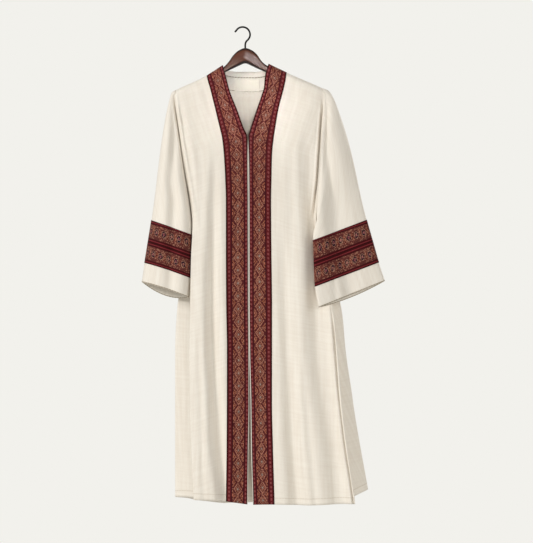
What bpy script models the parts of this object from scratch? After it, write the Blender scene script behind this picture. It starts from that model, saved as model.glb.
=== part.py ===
"""An open front abaya of cream linen with woven maroon ribbon, hung on a wooden hanger.

The script is in metres, its tables in millimetres. X runs towards the wearer's left, the front
faces -Y and Z is up. The origin is the point inside the top of the hook where a rail carries it.
"""

import math

import bmesh
import bpy
import numpy as np

MM = 0.001
# Points of two grids that are nearer than this, in metres, are one.
SAME_POINT = 0.00002

# Cloth thicknesses and the gaps between pieces.
CLOTH_WALL = 1.5
RIBBON_WALL = 1.0
LINING_WALL = 1.0
GAP = 0.3
ARMHOLE_GAP = 2.6
SIDE_SEAM_GAP = 0.3
RIBBON_INSET = 2.0
SLEEVE_EASE = 0.2
# How far a ribbon's middle lies off the middle of the cloth under it.
RIBBON_LIFT = CLOTH_WALL / 2 + GAP + RIBBON_WALL / 2

# The garment's main sizes. ARM_ROUND is how far the cloth takes to turn over the hanger's arm.
ARM_ROUND = 12.0
UNDERARM_Z = -615.0
UNDERARM_SHARE = 0.33
NAPE_Z = -200.0
BACK_LENGTH = 1284.0

CREAM = (0.79, 0.72, 0.60)
CREAM_INSIDE = (0.68, 0.61, 0.49)
MAROON = (0.13, 0.025, 0.025)
LABEL_CREAM = (0.82, 0.77, 0.67)
WALNUT = (0.075, 0.035, 0.022)
GUNMETAL = (0.03, 0.03, 0.03)


def monotone(xs, ys, at):
    """A smooth curve through table rows that never overshoots them, held level past both ends."""
    xs, ys = np.asarray(xs, float), np.asarray(ys, float)
    step = np.diff(xs)
    slope = np.diff(ys) / step
    tangent = np.zeros(len(xs))
    tangent[0], tangent[-1] = slope[0], slope[-1]
    for i in range(1, len(xs) - 1):
        if slope[i - 1] * slope[i] > 0:
            before = 2 * step[i] + step[i - 1]
            after = step[i] + 2 * step[i - 1]
            tangent[i] = (before + after) / (before / slope[i - 1] + after / slope[i])
    at = min(max(at, xs[0]), xs[-1])
    i = min(max(int(np.searchsorted(xs, at)) - 1, 0), len(step) - 1)
    t = (at - xs[i]) / step[i]
    return (
        ys[i] * (1 + 2 * t) * (1 - t) ** 2
        + step[i] * tangent[i] * t * (1 - t) ** 2
        + ys[i + 1] * t * t * (3 - 2 * t)
        + step[i] * tangent[i + 1] * t * t * (t - 1)
    )


class Table:
    """Rows of sizes in mm with named columns, the first of which is the one that they are read by."""

    def __init__(self, names, rows):
        ordered = np.array(sorted(rows), float)
        self.key = ordered[:, 0]
        self.columns = {name: ordered[:, i] for i, name in enumerate(names.split())}

    def at(self, name, key):
        return monotone(self.key, self.columns[name], key)


def through(knots, places):
    """Points on a smooth curve through the knots, at places counted in knots."""
    knots = np.asarray(knots, float)
    step = np.maximum(np.linalg.norm(np.diff(knots, axis=0), axis=1), 1e-6)
    slope = np.diff(knots, axis=0) / step[:, None]
    tangent = np.empty_like(knots)
    tangent[0], tangent[-1] = slope[0], slope[-1]
    for i in range(1, len(knots) - 1):
        near, far = step[i - 1], step[i]
        tangent[i] = (far * slope[i - 1] + near * slope[i]) / (near + far)
    points = []
    for place in places:
        i = min(int(place), len(step) - 1)
        t = place - i
        points.append(
            knots[i] * (1 + 2 * t) * (1 - t) ** 2
            + step[i] * tangent[i] * t * (1 - t) ** 2
            + knots[i + 1] * t * t * (3 - 2 * t)
            + step[i] * tangent[i + 1] * t * t * (t - 1)
        )
    return np.array(points)


def eased(t):
    t = min(max(t, 0.0), 1.0)
    return t * t * (3 - 2 * t)


# Sections of each side, from the shoulder to the hem. The right side is the wearer's right, at -X.
# edge: front edge and neckline. band: outer edge of the ribbon. ridge: the front panel's last fold.
# tuck: where it turns under. seam: armhole and side seam. spread: how far the back armhole lies
# behind the front one. back_tuck and back_ridge: the same folds of the back panel.
SECTION_NAMES = (
    "z edge_x edge_y band_x band_y ridge_x ridge_y tuck_x tuck_y seam_x seam_y spread "
    "back_tuck_x back_tuck_y back_ridge_x back_ridge_y"
)
RIGHT_SECTIONS = Table(SECTION_NAMES, [
    (-117, -61.5, -11, -111, -11, -203, -12, -205.5, -11.5, -208, -11, 22, -205.5, 11.5, -203, 12),
    (-148, -53, -14, -111, -12, -203, -12, -205.5, -11.5, -208, -11, 22, -205.5, 11.5, -203, 12),
    (-194, -41, -17, -100, -16, -203, -12, -205.5, -11.5, -208, -11, 22, -205.5, 11.5, -203, 12),
    (-217, -33, -18, -94.5, -18, -212, -17, -211, -13, -209, -10.5, 21, -211, 12.5, -211, 15),
    (-251, -19, -20, -86, -21, -208, -22, -206, -15.5, -205, -9.5, 19.5, -206, 14, -207, 19),
    (-317, 5, -24, -70, -25, -198, -26, -194.5, -17.5, -195, -9, 18, -195, 15, -198, 23),
    (-337, 14.2, -25, -65, -26, -195, -27, -191, -18, -192, -9, 18, -192, 15, -195, 24),
    (-400, 16.6, -27, -58, -28, -187, -29, -182, -18.5, -183, -8.5, 17, -184, 16, -188, 27),
    (-470, 17.6, -28, -54, -30, -175, -31, -170, -19, -171, -7.5, 14.5, -172, 17, -177, 30),
    (-540, 18.3, -29, -51.8, -31, -163, -33, -157, -20, -159, -6, 11, -160, 17, -166, 32),
    (UNDERARM_Z, 18.5, -30, -51.8, -33, -155, -36, -146, -21, -150, -4, 0, -148, 12, -157, 32),
    (-720, 18.8, -31, -51.8, -35, -159, -38, -130, -20, -141, 0, 0, -146, 20, -172, 44),
    (-865, 19.2, -33, -51, -38, -161, -42, -105, -18, -138, 5, 0, -150, 28, -203, 60),
    (-1005, 20.4, -36, -48.7, -41, -163, -46, -92, -17, -136, 8, 0, -152, 30, -210.5, 64),
    (-1161, 21, -39, -48.7, -45, -162, -50, -84, -16, -134, 10, 0, -151, 32, -210.8, 68),
    (-1317, 18.7, -43, -48.7, -49, -156, -54, -77, -15, -131, 12, 0, -149, 34, -210.8, 72),
    (-1475, 15.7, -47, -51, -53, -149, -58, -72, -14, -128, 14, 0, -147, 36, -210.8, 76),
])
LEFT_SECTIONS = Table(SECTION_NAMES, [
    (-113, 80.8, -11, 137.3, -11, 243, -12, 245.5, -11.5, 248, -11, 22, 245.5, 11.5, 243, 12),
    (-148, 70.5, -14, 136, -13, 243, -12, 245.5, -11.5, 248, -11, 22, 245.5, 11.5, 243, 12),
    (-188, 66.5, -16.5, 129, -16, 243, -12, 245.5, -11.5, 248, -11, 22, 245.5, 11.5, 243, 12),
    (-209, 60, -17.5, 123.5, -17.5, 252, -15.5, 255, -15.5, 258, -16, 27, 256, 13, 253, 15),
    (-254, 44.5, -20, 112, -21, 251, -18.5, 255, -19.5, 256.5, -22, 34, 252, 14, 249, 19),
    (-318, 24, -24.5, 101, -25, 245, -20, 249, -21.5, 250, -25, 38, 246, 15, 243, 23),
    (-337, 18.6, -25.5, 98, -26, 243, -20.5, 247, -22, 248, -25.5, 38, 244, 15, 241, 24),
    (-400, 18.0, -27, 91.7, -28, 238, -21, 242, -22.5, 243, -26, 37, 239, 16, 236, 27),
    (-470, 18.6, -28, 90, -29, 233, -22, 237, -23, 238, -26, 34, 234, 17, 232, 29),
    (-540, 19.1, -29, 88.6, -30, 226, -21, 230.5, -21.5, 232, -23, 26, 228, 17, 228, 31),
    (UNDERARM_Z, 19.3, -30, 89, -32, 224, -22, 228.5, -18, 229, -11, 0, 227, 6, 229, 28),
    (-720, 19.5, -31, 90, -34, 249, -27, 243, -15, 237, -2, 0, 238, 18, 258, 38),
    (-865, 19.9, -33, 91.7, -37, 280.5, -31, 272, -17, 262, 2, 0, 266, 24, 307, 54),
    (-1005, 21.3, -36, 91.7, -40, 294.3, -38, 286, -20, 277, 2, 0, 281, 28, 322.6, 60),
    (-1161, 25, -39, 91.7, -44, 307, -46, 300, -24, 290, 2, 0, 293, 30, 344, 66),
    (-1317, 27, -43, 95, -48, 325.7, -53, 318, -29, 308, 2, 0, 311, 33, 369.5, 71),
    (-1475, 32.5, -47, 99.5, -52, 348, -60, 340, -32, 330, 0, 0, 333, 36, 399, 76),
])

# Heights of the top and the hem of each line that runs down a panel.
LINE_NAMES = "edge band middle side back_side".split()
RIGHT_TOP = dict(zip(LINE_NAMES, (-117, -148, -167, -194, -194)))
RIGHT_HEM = dict(zip(LINE_NAMES, (-1484, -1475, -1471, -1470, -1468)))
LEFT_TOP = dict(zip(LINE_NAMES, (-113, -140, -158, -188, -188)))
LEFT_HEM = dict(zip(LINE_NAMES, (-1485, -1484, -1488, -1480, -1442)))

# The shoulder seams: height over the hanger's arms, from the armhole to the neck.
SHOULDER_NAMES = "x z"
RIGHT_SHOULDER = Table(SHOULDER_NAMES, [
    (-208, -194.5), (-195.3, -188.3), (-148.5, -167.5), (-110, -148.6), (-86, -134.4), (-61.5, -117),
])
LEFT_SHOULDER = Table(SHOULDER_NAMES, [
    (80.8, -113), (137.3, -140), (179, -158.4), (235.2, -182.5), (248, -188.5),
])
# Half the gap that the two walls of a shoulder seam need, as they meet on a rounded crest.
SHOULDER_HALF_GAP = 0.35

# The back panel's middle, from the nape to the hem.
BACK_MIDDLE = Table("z x y", [
    (NAPE_Z, 18.5, 27), (-337, 18.5, 28), (UNDERARM_Z, 19, 36.5), (-865, 20, 47.5), (-1161, 22, 59),
    (NAPE_Z - BACK_LENGTH, 24, 68),
])
# The back ribbon's upper and lower edges, each from a shoulder seam round to the nape. Their first
# two steps turn over the hanger's arm, so far back and so far down in mm.
CREST_BACK, CREST_DOWN = 11.0, 8.0
CREST_TURNS = (0.0, 0.8, math.pi / 2)


def from_crest(x, z, rest):
    turns = [
        (x, CREST_BACK * math.sin(angle), z - CREST_DOWN * (1 - math.cos(angle))) for angle in CREST_TURNS
    ]
    return turns + rest


NAPE_UPPER, NAPE_LOWER = (18.5, 26, -135.4), (18.5, 27, NAPE_Z)
NECK_UPPER = from_crest(-61.5, -117, [(-56, 17.5, -130.5), (-32, 23.5, -134.5)])
NECK_UPPER_LEFT = from_crest(80.8, -113, [(76, 17.5, -129), (60, 23, -134)])
NECK_LOWER = from_crest(-110, -148.6, [(-101, 17, -168), (-60, 23.5, -190)])
NECK_LOWER_LEFT = from_crest(137.3, -140, [(128, 17, -162), (95, 23.5, -188)])

# How far the panels bow out between their folds, in mm, and how fast the bow sets in below the top.
FRONT_BOW = 5.0
BACK_BOW = 10.0
BOW_SETS_IN = 300.0
BACK_SETS_IN = 1300.0
# Where the two inner points of a panel's section lie, as shares of the way between its lines, and
# how much of the bow the outer one has.
FRONT_INNER, FRONT_OUTER, FRONT_OUTER_BOW = 0.4, 0.86, 0.7
BACK_OUTER, BACK_OUTER_BOW = 0.14, 0.8
BACK_INNER_DRIFT = 0.08
# How far the inner point follows the middle line's height, and the outer one the inner one's.
FRONT_INNER_LEVEL, BACK_OUTER_LEVEL = 0.65, 0.2
BACK_INNER_RISE = 10.0
# How much of the panel's length follows its shoulder line, and how much follows the neckline.
SHOULDER_REACH = 0.1
NECK_REACH = 0.14
# The front folds fade out over this width beside the front edge, in mm.
EDGE_EASE = 60.0
# They also fade out past the ridge, the fourth line of a section.
RIDGE_PLACE = 4
# The neck strip bows out by this much, less where it is nearer than NECK_BACK to the shoulder's crest.
NECK_BOW, NECK_BACK = 1.5, 20.0

# Soft folds: each is a trough that follows a line down the cloth, with a low lip on both sides, so
# many widths from its middle and so high as a share of its depth.
LIP_PLACE, LIP_HEIGHT = 1.7, 0.25
FOLD_NAMES = "z x width depth"
FRONT_FOLDS = {
    "right": [
        Table(FOLD_NAMES, [
            (-400, -86, 14, 0), (-475, -88, 14, 5), (-553, -90, 15, 9), (-693, -93, 16, 15),
            (-818, -96, 17, 19), (-974, -94, 18, 20), (-1130, -86, 18, 19), (-1286, -76, 19, 18),
            (-1411, -62, 18, 17), (-1475, -56, 17, 16),
        ]),
    ],
    "left": [
        Table(FOLD_NAMES, [
            (-330, 203, 20, 0), (-381, 205, 22, 4), (-475, 208, 22, 5), (-553, 213, 22, 6),
            (-693, 226, 26, 15), (-849, 230, 28, 15), (-974, 236, 28, 14.5), (-1130, 254, 28, 16),
            (-1286, 278, 27, 17), (-1411, 292, 26, 17), (-1490, 300, 26, 16),
        ]),
        Table(FOLD_NAMES, [
            (-600, 124, 18, 0), (-700, 127, 18, 4), (-818, 131, 19, 7), (-974, 140, 20, 9),
            (-1130, 148, 20, 13), (-1286, 156, 21, 17), (-1411, 165, 23, 19), (-1490, 170, 23, 19),
        ]),
    ],
}
BACK_FOLDS = [
    Table(FOLD_NAMES, [
        (-380, -122, 22, 0), (-560, -120, 24, 9), (-900, -128, 24, 17), (-1484, -142, 22, 22),
    ]),
    Table(FOLD_NAMES, [
        (-470, -40, 20, 0), (-700, -44, 22, 8), (-1000, -50, 22, 14), (-1484, -60, 22, 20),
    ]),
    Table(FOLD_NAMES, [
        (-300, 55, 22, 0), (-480, 62, 24, 8), (-900, 72, 24, 16), (-1484, 80, 24, 21),
    ]),
    Table(FOLD_NAMES, [
        (-420, 150, 22, 0), (-640, 158, 24, 10), (-1000, 180, 26, 17), (-1484, 214, 24, 22),
    ]),
    Table(FOLD_NAMES, [(-980, 300, 18, 0), (-1200, 312, 20, 8), (-1484, 322, 20, 13)]),
]
SLEEVE_FOLDS = {
    "right": [
        Table(FOLD_NAMES, [
            (-300, -214, 12, 0), (-381, -217, 14, 7), (-475, -222, 15, 10), (-553, -213, 16, 12),
            (-640, -215, 17, 9), (-840, -226, 17, 7),
        ]),
    ],
    "left": [
        Table(FOLD_NAMES, [
            (-215, 264, 12, 0), (-300, 266, 13, 5), (-381, 266, 15, 8), (-484, 268, 17, 9),
            (-621, 284, 19, 9), (-750, 312, 21, 6), (-880, 345, 22, 7),
        ]),
    ],
}


def fold_depth(folds, x, z):
    """How far the cloth is pushed in at a place, in mm."""
    depth = 0.0
    for fold in folds:
        across = (x - fold.at("x", z)) / fold.at("width", z)
        lips = math.exp(-((across - LIP_PLACE) ** 2)) + math.exp(-((across + LIP_PLACE) ** 2))
        depth += fold.at("depth", z) * (math.exp(-across * across) - LIP_HEIGHT * lips)
    return depth


def over_arm(drop):
    """How fully the cloth has turned over the hanger's arm, from 0 on its crest to 1 below it."""
    reach = min(drop / ARM_ROUND, 1.0)
    return math.sqrt(1 - (1 - reach) ** 2)


class Side:
    """One side's tables, and the points that its pieces share."""

    def __init__(self, name, outward, sections, shoulder, top, hem):
        self.name, self.outward, self.sections, self.shoulder = name, outward, sections, shoulder
        self.top, self.hem = top, hem
        hem["side"] = top["side"] + (UNDERARM_Z - top["side"]) / UNDERARM_SHARE

    def height(self, line, share):
        return self.top[line] + share * (self.hem[line] - self.top[line])

    def point(self, line, heights, share):
        """The point of one line of the sections at a share of the way from its top to the hem."""
        z = self.height(heights, share)
        turn = over_arm(self.top[heights] - z)
        y = self.sections.at(line + "_y", z) * turn
        return np.array([self.sections.at(line + "_x", z), y, z])

    def seam(self, share, behind=0.0):
        """A point on the armhole or the side seam: 0 is on the front panel, 1 on the back panel."""
        z = self.height("side", share)
        turn = over_arm(self.top["side"] - z)
        y = self.sections.at("seam_y", z) + behind * self.sections.at("spread", z)
        return np.array([self.sections.at("seam_x", z), y * turn, z])

    def front_row(self, share):
        """The front panel's section: edge, band, two inner points, ridge, tuck and seam."""
        edge = self.point("edge", "edge", share)
        band = self.point("band", "band", share)
        ridge = self.point("ridge", "side", share)
        tuck = self.point("tuck", "side", share)
        seam = self.seam(share)
        bow = FRONT_BOW * over_arm(BOW_SETS_IN * share)
        inner = band + (ridge - band) * FRONT_INNER - (0, bow, 0)
        outer = band + (ridge - band) * FRONT_OUTER - (0, FRONT_OUTER_BOW * bow, 0)
        inner[2] += FRONT_INNER_LEVEL * (self.height("middle", share) - inner[2])
        return [edge, band, inner, outer, ridge, tuck, seam]

    def back_row(self, share):
        """Half of the back panel's section: seam, tuck, ridge, outer and inner point."""
        seam = self.seam(share, behind=1.0)
        tuck = self.point("back_tuck", "back_side", share)
        ridge = self.point("back_ridge", "back_side", share)
        centre = back_centre(share)
        bow = BACK_BOW * over_arm(BOW_SETS_IN * share)
        turn = over_arm(BACK_SETS_IN * share)
        outer = ridge + (centre - ridge) * BACK_OUTER
        band_x, ridge_x = (self.sections.columns[name][-1] for name in ("band_x", "back_ridge_x"))
        start = (band_x - ridge_x) / (BACK_MIDDLE.columns["x"][-1] - ridge_x)
        inner = ridge + (centre - ridge) * (start + BACK_INNER_DRIFT * share)
        outer[1] = (outer[1] + BACK_OUTER_BOW * bow) * turn
        inner[1] = (inner[1] + bow) * turn
        inner_top = self.top["band"] + BACK_INNER_RISE * share
        inner[2] = inner_top + share * (NAPE_Z - BACK_LENGTH - inner_top)
        outer[2] = ridge[2] + BACK_OUTER_LEVEL * (inner[2] - ridge[2])
        return [seam, tuck, ridge, outer, inner]


def back_centre(share):
    z = NAPE_Z - share * BACK_LENGTH
    return np.array([BACK_MIDDLE.at("x", z), BACK_MIDDLE.at("y", z), z])


RIGHT = Side("right", -1, RIGHT_SECTIONS, RIGHT_SHOULDER, RIGHT_TOP, RIGHT_HEM)
LEFT = Side("left", 1, LEFT_SECTIONS, LEFT_SHOULDER, LEFT_TOP, LEFT_HEM)

# Rows down a panel, as shares of its length. The first few turn over the hanger's arm.
ARMHOLE_ROWS = [
    0, 0.0008, 0.003, 0.007, 0.0125, 0.026, 0.05, 0.085, 0.125, 0.165, 0.205, 0.245, 0.28, 0.305,
    0.32, 0.327, UNDERARM_SHARE,
]
BODY_ROWS = ARMHOLE_ROWS + [0.36, 0.40, 0.46, 0.53, 0.60, 0.68, 0.76, 0.84, 0.92, 1.0]


def split(counts):
    """Places along a section counted in knots, with so many steps between each knot and the next."""
    places = [knot + i / count for knot, count in enumerate(counts) for i in range(count)]
    return places + [float(len(counts))]


FRONT_PLACES = split([3, 3, 4, 2, 3, 2])
BAND_PLACES = 4
BACK_HALF = [2, 3, 2, 3, 7]


# A point is drawn back by at most this share of the way to its neighbour.
MOST_PULLED = 0.6


def pulled(row, gap):
    """A row of points whose last one is drawn back, to leave a gap at the seam."""
    back = row[-2] - row[-1]
    row[-1] += back * min(gap / max(np.linalg.norm(back), 1e-6), MOST_PULLED)
    return row


def seam_gap(share):
    return ARMHOLE_GAP if share <= UNDERARM_SHARE else SIDE_SEAM_GAP


def on_shoulder(side, first_row, row, share):
    """The row moved so that the panel's top lies on the shoulder line, and its next rows follow."""
    fade = max(1 - share / SHOULDER_REACH, 0.0) ** 2
    for top, point in zip(first_row, row):
        point[2] += (side.shoulder.at("z", top[0]) - top[2]) * fade


def front_grid(side, rows=BODY_ROWS, places=FRONT_PLACES):
    first_row = through(side.front_row(0), places)
    grid = []
    for share in rows:
        row = through(side.front_row(share), places)
        for place, point in zip(places, row):
            ease = eased(abs(point[0] - side.sections.at("edge_x", point[2])) / EDGE_EASE)
            ease *= 1 - eased(place - RIDGE_PLACE)
            point[1] += ease * fold_depth(FRONT_FOLDS[side.name], point[0], point[2])
        on_shoulder(side, first_row, row, share)
        row = pulled(row, seam_gap(share))
        if share == 0:
            row[:, 1] = -SHOULDER_HALF_GAP
        grid.append(row)
    return np.array(grid)


def neck_curve(upper):
    right, left = (NECK_UPPER, NECK_UPPER_LEFT) if upper else (NECK_LOWER, NECK_LOWER_LEFT)
    return right + [NAPE_UPPER if upper else NAPE_LOWER] + left[::-1]


NECK_PLACES = split([1, 1, 1, 2, 2, 2, 2, 1, 1, 1])
NECK_ROWS = [0, 0.32, 0.66, 1.0]
LINING_MARGIN = 3
# How far the lower edges of these strips are drawn up, as a share of their last row.
EDGE_DRAWN_UP, COLLAR_DRAWN_UP, FACING_DRAWN_UP, UPPER_RIBBON_DRAWN_UP = 0.1, 0.02, 0.06, 0.01
# How many of the facing's columns the label keeps clear of at each end.
LABEL_CLEARS = 2
# The label's edges, in mm.
LABEL_LEFT, LABEL_RIGHT, LABEL_TOP, LABEL_BOTTOM = -25.0, 52.4, -160.0, -197.4
LABEL_WALL = 0.6
LABEL_LIFT = 0.5
LABEL_COLUMNS, LABEL_ROWS = 7, 4


def neck_grid(rows=NECK_ROWS, places=NECK_PLACES):
    """The back panel's strip round the neck: rows from the upper edge down, columns right to left."""
    upper = through(neck_curve(True), places)
    lower = through(neck_curve(False), places)
    grid = []
    for share in rows:
        row = upper + (lower - upper) * share
        row[:, 1] += NECK_BOW * math.sin(math.pi * share) * np.minimum(row[:, 1] / NECK_BACK, 1)
        grid.append(row)
    grid = np.array(grid)
    grid[:, (0, -1), 1] += SHOULDER_HALF_GAP
    return grid


def on_neck(neck, x, z):
    """The point of the neck strip at this place, seen from the front."""
    ys = [np.interp(x, row[:, 0], row[:, 1]) for row in neck]
    zs = [np.interp(x, row[:, 0], row[:, 2]) for row in neck]
    return np.array([x, np.interp(-z, [-height for height in zs], ys), z])


def back_row(places, share):
    right, left = RIGHT.back_row(share), LEFT.back_row(share)
    row = through(right + [back_centre(share)] + left[::-1], places)
    for place, point in zip(places, row):
        ease = eased(place - 1) * eased(places[-1] - place - 1)
        point[1] -= ease * fold_depth(BACK_FOLDS, point[0], point[2])
    return row


def back_grid(rows=BODY_ROWS, half=BACK_HALF, neck_places=NECK_PLACES):
    """The back panel below the neck strip, from the right seam to the left seam."""
    below_neck = through(neck_curve(False), neck_places)
    places = split(half + half[::-1])
    edge = sum(half[:4])
    first_row = back_row(places, 0)
    grid = []
    for share in rows:
        row = back_row(places, share)
        on_shoulder(RIGHT, first_row[:edge], row[:edge], share)
        on_shoulder(LEFT, first_row[-edge:], row[-edge:], share)
        fade = max(1 - share / NECK_REACH, 0.0) ** 2
        row[edge:-edge] += (below_neck - first_row[edge:-edge]) * fade
        row = pulled(pulled(row, seam_gap(share))[::-1], seam_gap(share))[::-1]
        if share == 0:
            row[:edge, 1] = row[-edge:, 1] = SHOULDER_HALF_GAP
            row[edge, 1] += SHOULDER_HALF_GAP
            row[-edge - 1, 1] += SHOULDER_HALF_GAP
        grid.append(row)
    return np.array(grid)


# Sleeves. Each is a fan of rings from the armhole (0) to the cuff (1), each ring hung between a
# point on the sleeve's outer edge and one on its inner edge.
RING_NAMES = "ring x y z"
SLEEVES = {
    "right": {
        "outer": Table(RING_NAMES, [
            (0, -208, 0, -194), (0.03, -219, 0, -200.5), (0.06, -225.5, 1, -216),
            (0.68, -284, 4, -600), (0.79, -294.7, 4.5, -666.5), (0.9, -305.4, 5, -733),
            (1, -314.5, 5, -793),
        ]),
        "inner": Table(RING_NAMES, [
            (0, -150, -4, UNDERARM_Z), (0.08, -154, -8, -622), (0.2, -156.5, -10, -629),
            (0.4, -157.5, -11, -637), (0.68, -158, -12, -646), (0.79, -160.2, -12, -713),
            (0.9, -162.5, -12, -780.6), (1, -167.2, -12, -841),
        ]),
        "front": 44, "back": 44, "back_lean": 0.0, "cuff_rise": 4, "cuff_drop": 19, "roll": 0.0,
    },
    "left": {
        "outer": Table(RING_NAMES, [
            (0, 248, 0, -188), (0.03, 267, 0, -195.5), (0.065, 288, 1, -229),
            (0.68, 386.6, 2, -598.7), (0.79, 405.6, 2, -665.4), (0.9, 424.6, 2, -732),
            (1, 444, 2, -789.7),
        ]),
        "inner": Table(RING_NAMES, [
            (0, 229, -11, UNDERARM_Z), (0.03, 234.5, -17, -617), (0.06, 234, -27, -620),
            (0.1, 229, -33, -625), (0.2, 221, -39, -637), (0.4, 219.5, -46, -648),
            (0.68, 219.6, -52, -662.7), (0.79, 222.6, -58, -735), (0.9, 225.6, -64, -807),
            (1, 236.8, -70, -872),
        ]),
        "front": 15, "back": 18, "back_lean": 1.0, "cuff_rise": 0, "cuff_drop": 9, "roll": 9.0,
    },
}
# Over 2, this makes the sleeve's front flatter than an ellipse.
FRONT_SQUARE = 4
# By which ring the armhole's own shape has faded, and how soon the sleeve swells out below it.
LOOP_FADES, SWELL_SETS_IN = 0.6, 0.16
# The roll of cloth beside the left armhole: its middle and width in rings, the shares of the loop
# that it grows and fades over, and how far it stands forward for its height.
ROLL_RING, ROLL_WIDTH = 0.06, 0.05
ROLL_START, ROLL_GROWS, ROLL_END, ROLL_FADES = 0.03, 0.25, 0.86, 0.12
ROLL_FORWARD, ROLL_FORWARD_SETS_IN, ROLL_REST = 0.8, 0.03, 12
ARMHOLE_MOST_PULLED = 0.4
RIBBON_TOP, RIBBON_MIDDLE, RIBBON_BOTTOM = 0.68, 0.79, 0.90
SLEEVE_RINGS = [
    0.0, 0.02, 0.045, 0.08, 0.13, 0.2, 0.3, 0.42, 0.55, RIBBON_TOP, 0.735, RIBBON_MIDDLE, 0.845,
    RIBBON_BOTTOM, 0.95, 1.0,
]


def sleeve_loop(side, rows=ARMHOLE_ROWS):
    """The armhole from the shoulder down its front and up its back, and each point's share of the way."""
    front = np.array([side.seam(share) for share in rows])
    back = np.array([side.seam(share, behind=1.0) for share in rows])
    along = np.concatenate([[0], np.cumsum(np.linalg.norm(np.diff(front, axis=0), axis=1))])
    along /= along[-1]
    points = np.concatenate([front, back[-2:0:-1]])
    shares = np.concatenate([along, along[-2:0:-1]])
    facing = np.array([-1.0] * len(front) + [1.0] * (len(back) - 2))
    facing[0] = facing[len(front) - 1] = 0.0
    return points, shares, facing


def sleeve_grid(side, rings=SLEEVE_RINGS, rows=ARMHOLE_ROWS):
    """Rings by columns. The loop's first point is on the outer edge."""
    sizes = SLEEVES[side.name]
    armhole, shares, facing = sleeve_loop(side, rows)
    outer_0, inner_0 = armhole[0], armhole[len(rows) - 1]
    grid = []
    for ring in rings:
        outer, inner = (
            np.array([sizes[edge].at(axis, ring) for axis in "xyz"]) for edge in ("outer", "inner")
        )
        fade = max(1 - ring / LOOP_FADES, 0.0) ** 2
        swell = 1 - math.exp(-ring / SWELL_SETS_IN)
        off_armhole = math.exp(-((ROLL_RING / ROLL_WIDTH) ** 2)) * (1 - ring) ** ROLL_REST
        roll = max(math.exp(-(((ring - ROLL_RING) / ROLL_WIDTH) ** 2)) - off_armhole, 0.0)
        forward = ROLL_FORWARD * (1 - math.exp(-ring / ROLL_FORWARD_SETS_IN)) * (1 - ring) ** 2
        row = []
        for start, share, face in zip(armhole, shares, facing):
            point = outer + (inner - outer) * share
            point += (start - outer_0 - (inner_0 - outer_0) * share) * fade
            full = math.sqrt(max(1 - (2 * share - 1) ** 2, 0.0))
            lens = 4 * share * (1 - share)
            if face < 0:
                flat = math.sqrt(1 - abs(2 * share - 1) ** FRONT_SQUARE)
                point[1] -= sizes["front"] * swell * flat
                point[2] += sizes["cuff_rise"] * lens * ring**4
                point[1] += fold_depth(SLEEVE_FOLDS[side.name], point[0], point[2]) * flat
            elif face > 0:
                lean = 1 - sizes["back_lean"] * share**3
                point[1] += sizes["back"] * swell * full * lean
                point[2] -= sizes["cuff_drop"] * lens * ring**4
            if face <= 0:
                grown = eased((share - ROLL_START) / ROLL_GROWS)
                height = sizes["roll"] * grown * (1 - eased((share - ROLL_END) / ROLL_FADES))
                point[0] -= side.outward * height * roll
                point[1] -= height * forward
            row.append(point)
        grid.append(row)
    grid = np.array(grid)
    inwards = grid[1] - grid[0]
    length = np.maximum(np.linalg.norm(inwards, axis=1), 1e-6)
    grid[0] += inwards * np.minimum(ARMHOLE_GAP / length, ARMHOLE_MOST_PULLED)[:, None]
    return grid


def mesh_of(name, grids):
    """One mesh from grids of points in mm, rows by columns, merged where they share points."""
    shape = bmesh.new()
    for grid in grids:
        rows, columns = grid.shape[:2]
        made = bmesh.ops.create_grid(shape, x_segments=columns - 1, y_segments=rows - 1, size=1)["verts"]
        for vertex in made:
            column = round((vertex.co.x + 1) / 2 * (columns - 1))
            row = round((vertex.co.y + 1) / 2 * (rows - 1))
            vertex.co = grid[row, column] * MM
    bmesh.ops.remove_doubles(shape, verts=shape.verts, dist=SAME_POINT)
    mesh = bpy.data.meshes.new(name)
    shape.to_mesh(mesh)
    shape.free()
    return mesh


def material(name, colour, roughness, metallic=0.0):
    finish = bpy.data.materials.get(name)
    if finish is None:
        finish = bpy.data.materials.new(name)
        finish.use_nodes = True
        shader = finish.node_tree.nodes["Principled BSDF"]
        shader.inputs["Base Color"].default_value = (*colour, 1)
        shader.inputs["Roughness"].default_value = roughness
        shader.inputs["Metallic"].default_value = metallic
    return finish


def add_piece(name, mesh, finish, parent):
    piece = bpy.data.objects.new(name, mesh)
    mesh.materials.append(finish)
    mesh.shade_smooth()
    bpy.data.collections["abaya"].objects.link(piece)
    piece.parent = parent
    return piece


def add_cloth(name, grids, wall, finish, parent, outward=True):
    """A piece of cloth: an open surface given its wall."""
    if not outward:
        grids = [grid[:, ::-1] for grid in grids]
    piece = add_piece(name, mesh_of(name, grids), finish, parent)
    thicken = piece.modifiers.new("wall", "SOLIDIFY")
    thicken.thickness = wall * MM
    thicken.offset = 0.0
    thicken.use_quality_normals = True
    return piece


def normals(grid, closed=False):
    """Unit normals at a grid's points, on the side that its columns turn anticlockwise about."""
    if closed:
        across = np.roll(grid, -1, axis=1) - np.roll(grid, 1, axis=1)
    else:
        across = np.gradient(grid, axis=1)
    down = np.gradient(grid, axis=0)
    normal = np.cross(down, across)
    return normal / np.linalg.norm(normal, axis=2)[:, :, None]


def moved_out(grid, distance, closed=False):
    return grid + normals(grid, closed) * distance


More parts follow.
